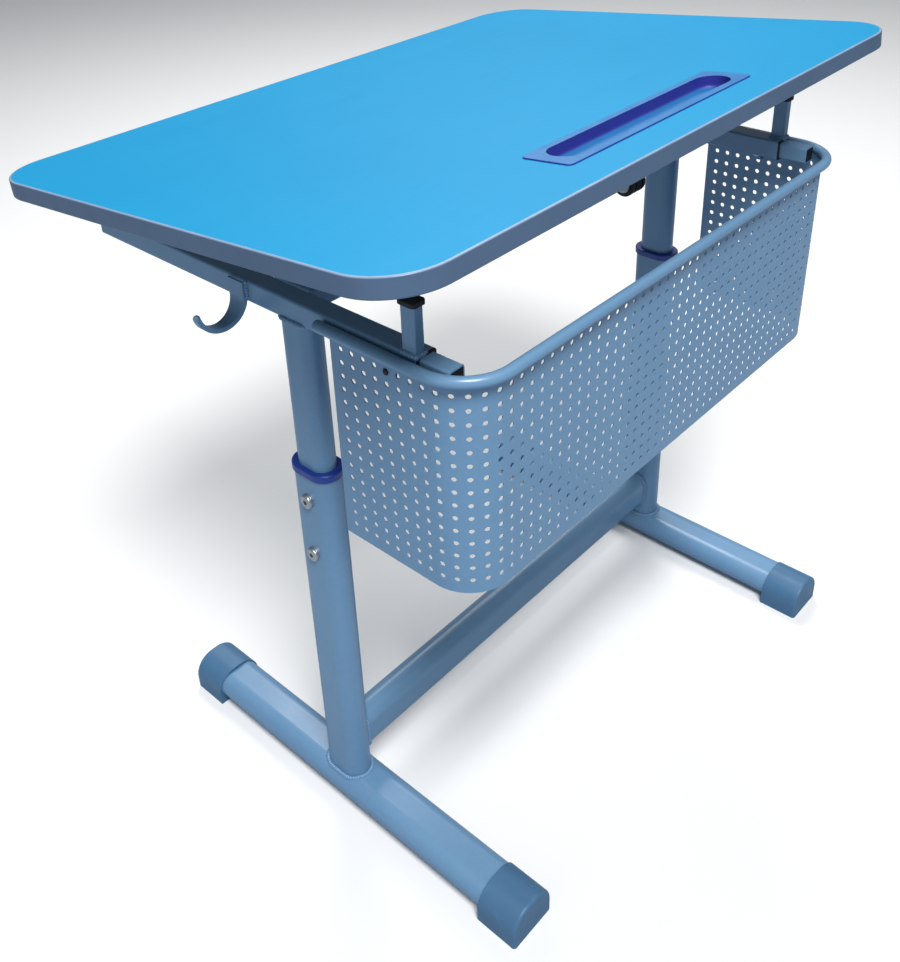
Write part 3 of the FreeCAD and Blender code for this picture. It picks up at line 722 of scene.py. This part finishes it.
@dataclass(frozen=True)
class Laminate:
    """Coloured laminate: a fine pressed texture, faint cloudiness and gloss worn by hands."""

    name: str
    colour: Colour
    shade: Colour
    roughness: float = 0.48
    specular: float = 0.1
    cloud: Patches = Patches(3.2, 3.0, 0.55)
    fibre: Patches = Patches(900.0, low=0.35, high=0.75)
    fibre_share: float = 0.16
    fibre_gain: float = 1.15
    fibre_lift: float = 0.03
    smear: Wear = Wear(Patches(9.0, 5.0, 0.6, 0.3, 0.72, (0.5, 1.8, 1.0)), 0.05, 0.07)
    press: Grain = Grain(1100.0, 2.0, 0.5, 0.1, 0.12 * MM)

    def material(self) -> bpy.types.Material:
        """Make the finish.

        Returns:
            The material.
        """
        s = Shader(self.name)
        cloud = s.patchy(self.cloud, 0.0, 1.0)
        fibre = s.patchy(self.fibre, 0.0, self.fibre_share)
        tone = s.blend(fibre, s.blend(cloud, self.colour, self.shade),
                       toned(self.colour, self.fibre_gain, self.fibre_lift))
        return s.dress(base_color=tone, roughness=s.worn(self.roughness, self.smear),
                       normal=s.relief(self.press), specular_ior_level=self.specular)


@dataclass(frozen=True)
class ChipCore:
    """Pressed wood chips, seen in the tray's pocket and the screw holes."""

    name: str
    light: Colour = (0.42, 0.28, 0.15)
    dark: Colour = (0.2, 0.12, 0.06)
    scale: float = 420.0
    stretch: Point = (1.0, 2.4, 1.6)
    widest: float = 0.8
    roughness: float = 0.85
    strength: float = 0.5
    depth: float = 0.4 * MM

    def material(self) -> bpy.types.Material:
        """Make the finish.

        Returns:
            The material.
        """
        s = Shader(self.name)
        chips = s.add("ShaderNodeTexVoronoi", {"Vector": s.stretched(self.stretch),
                                               "Scale": self.scale}).outputs["Distance"]
        tone = s.blend(s.ramp(chips, 0.0, self.widest, 0.0, 1.0), self.light, self.dark)
        return s.dress(base_color=tone, roughness=self.roughness,
                       normal=s.bump(chips, self.strength, self.depth))


@dataclass(frozen=True)
class Floor:
    """Pale matt studio floor, that throws less light back up than it shows."""

    name: str
    colour: Colour
    bounce: Colour
    roughness: float = 0.9
    specular: float = 0.1

    def material(self) -> bpy.types.Material:
        """Make the finish.

        Returns:
            The material.
        """
        s = Shader(self.name)
        seen = s.add("ShaderNodeLightPath").outputs["Is Camera Ray"]
        return s.dress(base_color=s.blend(seen, self.bounce, self.colour),
                       roughness=self.roughness, specular_ior_level=self.specular)


class Palette(Enum):
    """Every finish of the desk, by the record's slot names."""

    frame_paint = PaintedSteel("frame powder coat", (0.15, 0.295, 0.465), (0.13, 0.262, 0.43))
    cap_plastic = MouldedPlastic("foot cap plastic", (0.065, 0.165, 0.295),
                                 (0.055, 0.145, 0.265), 0.46)
    collar_plastic = MouldedPlastic("collar plastic", (0.012, 0.045, 0.3), (0.01, 0.035, 0.24),
                                    0.37, Grain(900.0, 2.0, 0.6, 0.06, 0.15 * MM), 0.2)
    zinc_steel = PlatedSteel("bright zinc", (0.6, 0.6, 0.6), (0.42, 0.42, 0.4), 0.37)
    black_plastic = MouldedPlastic("black plastic", (0.012, 0.012, 0.014),
                                   (0.008, 0.008, 0.01), 0.48)
    black_rubber = MouldedPlastic("black rubber", (0.014, 0.013, 0.013), (0.009, 0.009, 0.009),
                                  0.7, Grain(2200.0, 2.0, 0.6, 0.3, 0.15 * MM))
    black_steel = PlatedSteel("black plated steel", (0.02, 0.02, 0.023), (0.012, 0.012, 0.014),
                              0.42, 0.35)
    board_core = ChipCore("board core")
    blue_laminate = Laminate("blue laminate", (0.007, 0.26, 0.5), (0.005, 0.243, 0.472))
    backing = Laminate("grey backing", (0.2, 0.2, 0.2), (0.17, 0.17, 0.17), 0.6)
    # the edge band's third colour is its painted highlight
    edge_plastic = HighlitBand("edge band plastic", (0.085, 0.14, 0.235), (0.075, 0.125, 0.21),
                              (0.26, 0.36, 0.5))
    # the tray's first colour is the flats' painted light, its second the painted shade of each wall
    tray_plastic = TrayPlastic("tray plastic", (0.022, 0.165, 0.42), (0.03, 0.032, 0.26))


class Finishes:
    """The finishes' materials, each made once."""

    def __init__(self) -> None:
        """Start with none made."""
        self.made: dict[str, bpy.types.Material] = {}

    def weld(self) -> bpy.types.Material:
        """The paint over the welds.

        Returns:
            The material.
        """
        if "weld" not in self.made:
            paint: PaintedSteel = Palette.frame_paint.value
            self.made["weld"] = WeldPaint("paint over welds", paint.colour,
                                          paint.shade).material()
        return self.made["weld"]

    def get(self, slot: str) -> bpy.types.Material:
        """The material of a slot.

        Args:
            slot: the record's name for it.

        Returns:
            The material.
        """
        if slot not in self.made:
            self.made[slot] = Palette[slot].value.material()
        return self.made[slot]

    def dress_nodes(self, frame: dict[str, Any]) -> None:
        """Give every CAD node the finish of the slot that its plain material is named for.

        Args:
            frame: the loaded CAD frame.
        """
        for node in frame["nodes"].values():
            for held in node.material_slots:
                held.material = self.get(held.material.name.split(".")[0])


# ------------------------------------------------------------------ the guard
@dataclass
class PerforatedGuard:
    """Thin sheet with rows of round holes, bent round the desk's far corners."""

    node: str = "guard_sheet"
    bend: float = 40.0 * MM
    sheet: float = 1.0 * MM
    hole: float = 2.3 * MM
    hole_sides: int = 16
    column_pitch: float = 12.2 * MM
    row_pitch: float = 12.22 * MM
    first_column: float = 11.4 * MM
    first_row: float = 10.9 * MM
    rows: int = 15
    bend_steps: int = 24
    past_last: float = 0.4
    merge: float = 0.05 * MM

    def path(self) -> list[Point]:
        """The sheet's inner face seen from above.

        Returns:
            Its points, from the right end's user edge round to the left.
        """
        low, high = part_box(self.node)
        x, y, radius = high.x - self.sheet, high.y - self.sheet, self.bend - self.sheet / 2
        points: list[Point] = [(x, low.y, 0.0)]
        turns = [math.pi / 2 * i / self.bend_steps for i in range(self.bend_steps + 1)]
        points += [(x - radius + radius * math.cos(t), y - radius + radius * math.sin(t), 0.0)
                   for t in turns]
        points += [(-px, py, 0.0) for px, py, _ in reversed(points)]
        return points

    def length(self) -> float:
        """How long the path is."""
        run = [Vector(p) for p in self.path()]
        return sum((b - a).length for a, b in zip(run, run[1:]))

    def columns(self) -> int:
        """How many columns of holes fit between the two end margins."""
        return 1 + round((self.length() - 2 * self.first_column) / self.column_pitch)

    def cell(self, g: GeoTree, hole: Socket, across: Socket, down: Socket) -> Socket:
        """One rectangle of sheet round one hole.

        Args:
            g: the tree being made.
            hole: the hole's radius.
            across: the rectangle's width.
            down: its height.

        Returns:
            The rectangle's geometry.
        """
        ring = g.add("GeometryNodeMeshCircle", {"Vertices": self.hole_sides, "Radius": hole},
                     fill_type="NONE")
        doubled = g.add("GeometryNodeExtrudeMesh", {"Mesh": ring.outputs[0], "Offset Scale": 0.0},
                        mode="EDGES")
        x, y, _ = g.place()
        reach = g.math("MAXIMUM", g.math("ABSOLUTE", x), g.math("ABSOLUTE", y))
        edge = g.add("ShaderNodeCombineXYZ", {
            0: g.math("MULTIPLY", g.math("DIVIDE", x, reach), g.half(across)),
            1: g.math("MULTIPLY", g.math("DIVIDE", y, reach), g.half(down))})
        return g.add("GeometryNodeSetPosition", {
            "Geometry": doubled.outputs[0], "Selection": doubled.outputs["Top"],
            "Position": edge.outputs[0]}).outputs[0]

    def reaching(self, g: GeoTree, place: Socket, extent: Socket, pitch: Socket, inner: Socket,
                 ends: tuple[Any, Socket]) -> Socket:
        """A distance whose outermost points are moved to the sheet's own edges.

        Args:
            g: the tree being made.
            place: where a point lies on the flat grid.
            extent: the distance between the first and the last hole.
            pitch: the distance between two holes.
            inner: the distance of a point that isn't on an edge.
            ends: the distances of the two edges.

        Returns:
            The distance.
        """
        limit = g.math("ADD", g.half(extent), g.math("MULTIPLY", pitch, self.past_last))
        before = g.compare(place, "LESS_THAN", g.math("MULTIPLY", limit, -1.0))
        after = g.compare(place, "GREATER_THAN", limit)
        return g.choose(after, ends[1], g.choose(before, ends[0], inner))

    def tree(self) -> bpy.types.NodeTree:
        """Cells round holes on a flat grid, wrapped on the path and given their thickness.

        Returns:
            The Geometry Nodes tree.
        """
        g = GeoTree("perforated sheet")
        across, down = g.size("Column Pitch"), g.size("Row Pitch")
        columns, rows = g.size("Columns", "NodeSocketInt"), g.size("Rows", "NodeSocketInt")
        hole, first = g.size("Hole Radius"), g.size("First Column")
        top_row, bottom = g.size("Top Row Height"), g.size("Bottom Edge")
        top, length, thick = g.size("Top Edge"), g.size("Path Length"), g.size("Sheet Thickness")
        wide = g.math("MULTIPLY", g.math("SUBTRACT", columns, 1), across)
        tall = g.math("MULTIPLY", g.math("SUBTRACT", rows, 1), down)
        grid = g.add("GeometryNodeMeshGrid", {"Size X": wide, "Size Y": tall,
                                              "Vertices X": columns, "Vertices Y": rows})
        cells = g.add("GeometryNodeInstanceOnPoints", {
            "Points": grid.outputs[0], "Instance": self.cell(g, hole, across, down)})
        flat = g.add("GeometryNodeRealizeInstances", {"Geometry": cells.outputs[0]})
        welded = g.add("GeometryNodeMergeByDistance", {"Geometry": flat.outputs[0],
                                                       "Distance": self.merge})
        x, y, _ = g.place()
        inner = g.math("ADD", g.math("ADD", x, g.half(wide)), first)
        along = self.reaching(g, x, wide, across, inner, (0.0, length))
        inner = g.math("ADD", g.math("SUBTRACT", y, g.half(tall)), top_row)
        height = self.reaching(g, y, tall, down, inner, (bottom, top))
        curve = g.add("GeometryNodeMeshToCurve", {"Mesh": g.entry.outputs[0]})
        sample = g.add("GeometryNodeSampleCurve", {"Curves": curve.outputs[0], "Length": along},
                       mode="LENGTH")
        rise = g.add("ShaderNodeCombineXYZ", {2: height})
        spread = g.add("ShaderNodeVectorMath", {0: sample.outputs["Position"],
                                                1: rise.outputs[0]}, operation="ADD")
        bent = g.add("GeometryNodeSetPosition", {"Geometry": welded.outputs[0],
                                                 "Position": spread.outputs[0]})
        outer = g.add("GeometryNodeExtrudeMesh", {"Mesh": bent.outputs[0], "Offset Scale": thick,
                                                  "Individual": False}, mode="FACES")
        flipped = g.add("GeometryNodeFlipFaces", {"Mesh": bent.outputs[0]})
        both = g.add("GeometryNodeJoinGeometry")
        g.feed(both.inputs[0], outer.outputs[0])
        g.feed(both.inputs[0], flipped.outputs[0])
        closed = g.add("GeometryNodeMergeByDistance", {"Geometry": both.outputs[0],
                                                       "Distance": self.merge})
        return g.finish(closed.outputs[0])

    def build(self, finishes: Finishes) -> bpy.types.Object:
        """Make the sheet in place of its plain CAD solid.

        Args:
            finishes: the desk's materials.

        Returns:
            The sheet.
        """
        low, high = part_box(self.node)
        piece = outline_mesh("perforated_guard", [self.path()])
        columns = self.columns()
        pitch = (self.length() - 2 * self.first_column) / (columns - 1)
        grown(piece, self.tree(), {
            "Column Pitch": pitch, "Row Pitch": self.row_pitch, "Columns": columns,
            "Rows": self.rows, "Hole Radius": self.hole, "First Column": self.first_column,
            "Top Row Height": high.z - self.first_row, "Bottom Edge": low.z, "Top Edge": high.z,
            "Path Length": self.length(), "Sheet Thickness": self.sheet,
            "Material": finishes.get("frame_paint")})
        tidy_mesh(piece)
        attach(piece, Body.UPPER.value)
        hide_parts(self.node)
        log.info("%s: %d columns at %.2f mm, %d triangles", piece.name, columns, pitch / MM,
                 faces_of(piece.data))
        return piece


# ------------------------------------------------------------------ welds and small hardware
@dataclass
class WeldSeams:
    """Fillet welds where the frame's tubes meet, rippled by the torch's steps."""

    bead: float = 2.3 * MM
    ripple: float = 2.6 * MM
    depth: float = 0.17
    step: float = 0.5 * MM
    lift: float = 1.6 * MM
    sides: int = 8
    narrowest: float = 0.78
    wander: float = 0.44
    wander_scale: float = 140.0
    wander_detail: float = 1.0
    smooth_below: float = 60.0
    hook_leg: float = 4 * MM
    tack_half: float = 4 * MM
    tack_rise: float = 0.4 * MM
    tack_inset: float = 1.2 * MM
    end_tacks: tuple[float, ...] = (0.1, 0.42, 0.72)
    far_tacks: int = 7
    far_reach: float = 0.8

    def tree(self) -> bpy.types.NodeTree:
        """A round bead along each run, its width rippling and wandering.

        Returns:
            The Geometry Nodes tree.
        """
        g = GeoTree("weld seams")
        bead, ripple = g.size("Bead Radius"), g.size("Ripple Pitch")
        depth, step = g.size("Ripple Depth"), g.size("Step")
        sides = g.size("Sides", "NodeSocketInt")
        line = g.add("GeometryNodeMeshToCurve", {"Mesh": g.entry.outputs[0]})
        run = g.add("GeometryNodeResampleCurve", {"Curve": line.outputs[0], "Length": step},
                    mode="LENGTH")
        along = g.add("GeometryNodeSplineParameter").outputs["Length"]
        phase = g.math("MULTIPLY", g.math("DIVIDE", along, ripple), 2 * math.pi)
        wave = g.math("MULTIPLY", g.math("SINE", phase), depth)
        wander = g.add("ShaderNodeTexNoise", {"Scale": self.wander_scale,
                                              "Detail": self.wander_detail}).outputs["Fac"]
        wide = g.math("ADD", g.math("ADD", wave, self.narrowest),
                      g.math("MULTIPLY", wander, self.wander))
        profile = g.add("GeometryNodeCurvePrimitiveCircle", {"Resolution": sides, "Radius": bead})
        tube = g.add("GeometryNodeCurveToMesh", {
            "Curve": run.outputs[0], "Profile Curve": profile.outputs[0], "Scale": wide,
            "Fill Caps": True})
        return g.finish(tube.outputs[0])

    def leg_foot(self, side: str) -> list[Point]:
        """Round a leg where it stands on its flat-oval runner.

        Args:
            side: left or right.

        Returns:
            The run's points.
        """
        low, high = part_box(f"lower_leg_{side}")
        foot_low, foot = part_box(f"foot_tube_{side}")
        middle, radius = (low + high) / 2, (foot.z - foot_low.z) / 2
        straight = (foot.x - foot_low.x) / 2 - radius
        points = []
        for along, across in oval_run(high.y - low.y + 2 * self.lift,
                                      high.x - low.x + 2 * self.lift):
            fall = max(0.0, abs(across) - straight)
            points.append((middle.x + across, middle.y + along,
                           foot.z - radius + math.sqrt(radius ** 2 - fall ** 2)))
        return points

    def leg_stretcher(self, side: str) -> list[Point]:
        """Round the stretcher's end where it meets a leg's rounded face.

        Args:
            side: left or right.

        Returns:
            The run's points.
        """
        low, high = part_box(f"lower_leg_{side}")
        bar_low, bar_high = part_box("stretcher")
        middle, bar = (low + high) / 2, (bar_low + bar_high) / 2
        radius = (high.x - low.x) / 2
        straight = (high.y - low.y) / 2 - radius
        inward = -1 if middle.x > 0 else 1
        points = []
        for along, across in oval_run(bar_high.z - bar_low.z, bar_high.y - bar_low.y):
            fall = max(0.0, abs(across) - straight)
            reach = math.sqrt(radius ** 2 - fall ** 2) + self.lift
            points.append((middle.x + inward * reach, bar.y + across, bar.z + along))
        return points

    @staticmethod
    def leg_rail(side: str) -> list[Point]:
        """Round an upper leg where it meets its rail, kept within the rail's width.

        Args:
            side: left or right.

        Returns:
            The run's points.
        """
        low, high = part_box(f"upper_leg_{side}")
        rail_low, rail_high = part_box(f"side_rail_{side}")
        middle = (low + high) / 2
        return [(min(rail_high.x, max(rail_low.x, middle.x + across)), middle.y + along,
                 rail_low.z)
                for along, across in oval_run(high.y - low.y, high.x - low.x)]

    @staticmethod
    def crossbar_end(side: str) -> list[Point]:
        """Round the crossbar's end on a rail's inner face.

        Args:
            side: left or right.

        Returns:
            The run's points.
        """
        low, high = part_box("top_crossbar")
        x = high.x if side == "right" else low.x
        return [(x, low.y, low.z), (x, high.y, low.z), (x, high.y, high.z), (x, low.y, high.z)]

    @staticmethod
    def post_foot(side: str) -> list[Point]:
        """Round a rest post where it stands on its rail."""
        low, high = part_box(f"rest_post_{side}")
        return [(low.x, low.y, low.z), (high.x, low.y, low.z), (high.x, high.y, low.z),
                (low.x, high.y, low.z)]

    def hook_root(self) -> list[Point]:
        """Up one side of the hook's root, over it and down the other.

        Returns:
            The run's points.
        """
        low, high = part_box("bag_hook")
        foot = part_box("side_rail_right")[0].z + self.hook_leg
        return [(low.x, low.y, foot), (low.x, low.y, high.z), (low.x, high.y, high.z),
                (low.x, high.y, foot)]

    @staticmethod
    def bracket_foot() -> list[list[Point]]:
        """Along the two ends of the stay's foot bracket on the crossbar."""
        low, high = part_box("stay_foot_bracket")
        return [[(x, low.y, low.z), (x, high.y, low.z)] for x in (low.x, high.x)]

    def rim_tacks(self) -> list[list[Point]]:
        """Short tacks that hold the sheet under the rim, on the guard's inner side.

        Returns:
            The tacks' runs.
        """
        low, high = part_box("guard_sheet")
        z = high.z + self.tack_rise
        inside, far = high.x - self.tack_inset, high.y - self.tack_inset
        tacks = []
        for x in (inside, -inside):
            for share in self.end_tacks:
                y = low.y + (high.y - low.y) * share
                tacks.append([(x, y - self.tack_half, z), (x, y + self.tack_half, z)])
        middle = (self.far_tacks - 1) / 2
        for i in range(self.far_tacks):
            x = high.x * self.far_reach * (i / middle - 1)
            tacks.append([(x - self.tack_half, far, z), (x + self.tack_half, far, z)])
        return tacks

    def run(self, name: str, body: Body, rings: Sequence[Sequence[Point]],
            open_runs: Sequence[Sequence[Point]], finishes: Finishes) -> bpy.types.Object:
        """Make one body's welds.

        Args:
            name: the piece's name.
            body: the body it moves with.
            rings: runs that go all the way round a tube.
            open_runs: runs with two ends.
            finishes: the desk's materials.

        Returns:
            The welds, as one piece.
        """
        piece = outline_mesh(name, [[*ring, ring[0]] for ring in rings] + list(open_runs))
        grown(piece, self.tree(), {
            "Bead Radius": self.bead, "Ripple Pitch": self.ripple, "Ripple Depth": self.depth,
            "Step": self.step, "Sides": self.sides, "Material": finishes.weld()})
        tidy_mesh(piece, self.smooth_below)
        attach(piece, body.value)
        log.info("%s: %d triangles", name, faces_of(piece.data))
        return piece

    def build(self, finishes: Finishes) -> None:
        """Make the welds of the base and of the upper frame.

        Args:
            finishes: the desk's materials.
        """
        base = (self.leg_foot, self.leg_stretcher)
        upper = (self.leg_rail, self.crossbar_end, self.post_foot)
        self.run("base_welds", Body.BASE, [ring(side) for ring in base for side in SIDES], [],
                 finishes)
        self.run("upper_frame_welds", Body.UPPER, [ring(side) for ring in upper for side in SIDES],
                 [self.hook_root(), *self.bracket_foot(), *self.rim_tacks()], finishes)


@dataclass
class GuardNuts:
    """A lock nut and the screw's tip behind each of the guard's fixing screws."""

    flats: float = 3.5 * MM
    thick: float = 3.2 * MM
    bevel: float = 0.3 * MM
    foot_share: float = 0.96
    crown_share: float = 0.97
    collar: float = 3.1 * MM
    collar_foot: float = 0.1 * MM
    collar_rise: float = 0.9 * MM
    collar_share: float = 0.92
    bore_share: float = 1.15
    screw: float = 1.9 * MM
    screw_rise: float = 1.9 * MM
    tip: float = 0.5 * MM
    tip_share: float = 0.75
    washer: float = 4.5 * MM
    washer_thick: float = 0.8 * MM
    washer_edge: float = 0.1 * MM
    seat: float = 0.02 * MM

    def build(self, finishes: Finishes) -> bpy.types.Object:
        """Make both nuts as one piece.

        Args:
            finishes: the desk's materials.

        Returns:
            The nuts.
        """
        plate = self.washer_thick
        collar_top, screw_top = self.thick + self.collar_rise, self.thick + self.screw_rise
        work = bmesh.new()
        for side, inward in (("right", -1), ("left", 1)):
            low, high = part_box(f"guard_tab_{side}")
            head_low, head_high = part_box(f"guard_screw_{side}")
            spot = (head_low + head_high) / 2
            spot.x = low.x if inward < 0 else high.x
            axis = Vector((inward, 0.0, 0.0))
            turned(work, spot, axis, [
                Ring(self.seat, self.washer), Ring(plate - self.washer_edge, self.washer),
                Ring(plate, self.washer - self.washer_edge)])
            turned(work, spot, axis, [
                Ring(plate, self.flats * self.foot_share),
                Ring(plate + self.bevel, self.flats, True),
                Ring(self.thick - self.bevel, self.flats, True),
                Ring(self.thick, self.flats * self.crown_share),
                Ring(self.thick + self.collar_foot, self.collar),
                Ring(collar_top, self.collar * self.collar_share),
                Ring(collar_top, self.screw * self.bore_share)])
            turned(work, spot, axis, [
                Ring(self.thick, self.screw), Ring(screw_top, self.screw),
                Ring(screw_top + self.tip, self.screw * self.tip_share)])
        return kept("guard_nuts", work, finishes.get("zinc_steel"), Body.UPPER)


@dataclass
class KneeRatchet:
    """The stay's knee: a ridged black drum between the bars, with black washers outside them."""

    ridges: int = 5
    ridge_high: float = 10.4 * MM
    ridge_low: float = 8.9 * MM
    ridge_foot: float = 0.02 * MM
    ridge_shape: tuple[float, float, float] = (0.2, 0.75, 0.95)
    drum_sides: int = 32
    drum_end: float = 0.5
    drum_gap: float = 0.1 * MM
    washer: float = 8.0 * MM
    washer_seat: float = 0.01 * MM
    washer_thick: float = 0.65 * MM
    washer_edge: float = 0.15 * MM
    washer_share: float = 0.96

    @staticmethod
    def centre() -> Vector:
        """The knee's centre, in the middle of its rivet."""
        low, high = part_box("knee_rivet")
        return (low + high) / 2

    def drum(self, finishes: Finishes) -> bpy.types.Object:
        """Make the ridged drum on the lower bar.

        Args:
            finishes: the desk's materials.

        Returns:
            The drum.
        """
        low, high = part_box("stay_lower_bar")
        half = (high.x - low.x) / 2 - self.drum_gap
        pitch = 2 * half / self.ridges
        rise, level, fall = (pitch * share for share in self.ridge_shape)
        rings = [Ring(-half, self.ridge_low * self.drum_end)]
        for i in range(self.ridges):
            start = -half + i * pitch
            rings += [Ring(start + self.ridge_foot, self.ridge_low),
                      Ring(start + rise, self.ridge_high), Ring(start + level, self.ridge_high),
                      Ring(start + fall, self.ridge_low)]
        rings.append(Ring(half, self.ridge_low * self.drum_end))
        work = bmesh.new()
        turned(work, self.centre(), Vector((1.0, 0.0, 0.0)), rings, self.drum_sides)
        return kept("knee_drum", work, finishes.get("black_plastic"), Body.STAY_LOWER)

    def washers(self, finishes: Finishes) -> bpy.types.Object:
        """Make the black washers under the rivet's heads.

        Args:
            finishes: the desk's materials.

        Returns:
            The washers.
        """
        work = bmesh.new()
        middle = self.centre()
        low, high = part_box("stay_upper_bars")
        for x, way in ((high.x, 1), (low.x, -1)):
            turned(work, Vector((x, middle.y, middle.z)), Vector((way, 0.0, 0.0)), [
                Ring(self.washer_seat, self.washer),
                Ring(self.washer_thick - self.washer_edge, self.washer),
                Ring(self.washer_thick, self.washer * self.washer_share)])
        return kept("knee_washers", work, finishes.get("black_steel"), Body.STAY_UPPER)

    def build(self, finishes: Finishes) -> None:
        """Make the knee's pieces."""
        self.drum(finishes)
        self.washers(finishes)


# ------------------------------------------------------------------ the studio
@dataclass(frozen=True)
class Lamp:
    """One soft round light: where it hangs, what it faces, its width and its power."""

    name: str
    spot: Point
    aim: Point
    size: float
    power: float
    colour: Colour = (1.0, 1.0, 1.0)

    def build(self) -> bpy.types.Object:
        """Make the light.

        Returns:
            The light.
        """
        data = bpy.data.lights.new(self.name, "AREA")
        data.shape, data.size = "DISK", self.size
        data.energy, data.color = self.power, self.colour
        lamp = bpy.data.objects.new(self.name, data)
        bpy.context.scene.collection.objects.link(lamp)
        turn = (Vector(self.aim) - Vector(self.spot)).to_track_quat("-Z", "Y")
        lamp.matrix_world = Matrix.Translation(self.spot) @ turn.to_matrix().to_4x4()
        return lamp


@dataclass
class Studio:
    """Camera, floor and soft lights."""

    eye: Point = (0.7503, 0.6394, 0.9882)
    heading: float = -134.22
    pitch: float = -29.03
    roll: float = -2.75
    lens: float = 40.91
    sensor: float = 36.0
    shift: tuple[float, float] = (0.0265, -0.177)
    clip: tuple[float, float] = (0.02, 60.0)
    floor_half: float = 14.0
    floor_seen: Colour = (0.9, 0.9, 0.9)
    floor_bounce: Colour = (0.37, 0.43, 0.5)
    sky: Colour = (0.86, 0.93, 1.0)
    sky_strength: float = 0.2
    lamps: tuple[Lamp, ...] = (
        Lamp("key", (1.3, 1.75, 3.9), (0.1, 0.1, 0.3), 1.6, 185.0),
        Lamp("fill", (-1.3, -1.2, 2.5), (0.0, 0.0, 0.4), 1.6, 48.0),
        Lamp("side", (2.6, 0.4, 1.0), (0.0, 0.0, 0.4), 1.4, 6.0, (0.78, 0.9, 1.0)))

    def camera(self) -> bpy.types.Object:
        """Make the scene's camera.

        Returns:
            The camera.
        """
        yaw, pitch, roll = (math.radians(a) for a in (self.heading, self.pitch, self.roll))
        ahead = Vector((math.sin(yaw) * math.cos(pitch), math.cos(yaw) * math.cos(pitch),
                        math.sin(pitch)))
        right = Vector((math.cos(yaw), -math.sin(yaw), 0.0))
        above = right.cross(ahead)
        side = right * math.cos(roll) + above * math.sin(roll)
        top = above * math.cos(roll) - right * math.sin(roll)
        data = bpy.data.cameras.new("camera")
        data.lens, data.sensor_width = self.lens, self.sensor
        data.shift_x, data.shift_y = self.shift
        data.clip_start, data.clip_end = self.clip
        camera = bpy.data.objects.new("camera", data)
        bpy.context.scene.collection.objects.link(camera)
        turn = Matrix((side, top, -ahead)).transposed()
        camera.matrix_world = Matrix.Translation(self.eye) @ turn.to_4x4()
        bpy.context.scene.camera = camera
        return camera

    def floor(self) -> bpy.types.Object:
        """Make the pale floor.

        Returns:
            The floor.
        """
        h = self.floor_half
        mesh = bpy.data.meshes.new("floor")
        mesh.from_pydata([(-h, -h, 0), (h, -h, 0), (h, h, 0), (-h, h, 0)], [], [(0, 1, 2, 3)])
        floor = linked("floor", mesh)
        mesh.materials.append(Floor("floor", self.floor_seen, self.floor_bounce).material())
        return floor

    def world(self) -> None:
        """Set a plain pale surround."""
        world = bpy.data.worlds.new("surround")
        world.use_nodes = True
        back = world.node_tree.nodes["Background"]
        back.inputs["Color"].default_value = (*self.sky, 1.0)
        back.inputs["Strength"].default_value = self.sky_strength
        bpy.context.scene.world = world

    def build(self) -> None:
        """Set the whole studio."""
        self.camera()
        self.floor()
        self.world()
        for lamp in self.lamps:
            lamp.build()
        bpy.context.scene.view_settings.view_transform = "Standard"


def main() -> None:
    """Build the desk's looks."""
    logging.basicConfig(level=logging.INFO, format="%(name)s %(message)s")
    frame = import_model()
    finishes = Finishes()
    finishes.dress_nodes(frame)
    PerforatedGuard().build(finishes)
    WeldSeams().build(finishes)
    GuardNuts().build(finishes)
    KneeRatchet().build(finishes)
    Studio().build()


if __name__ == "__main__":
    main()
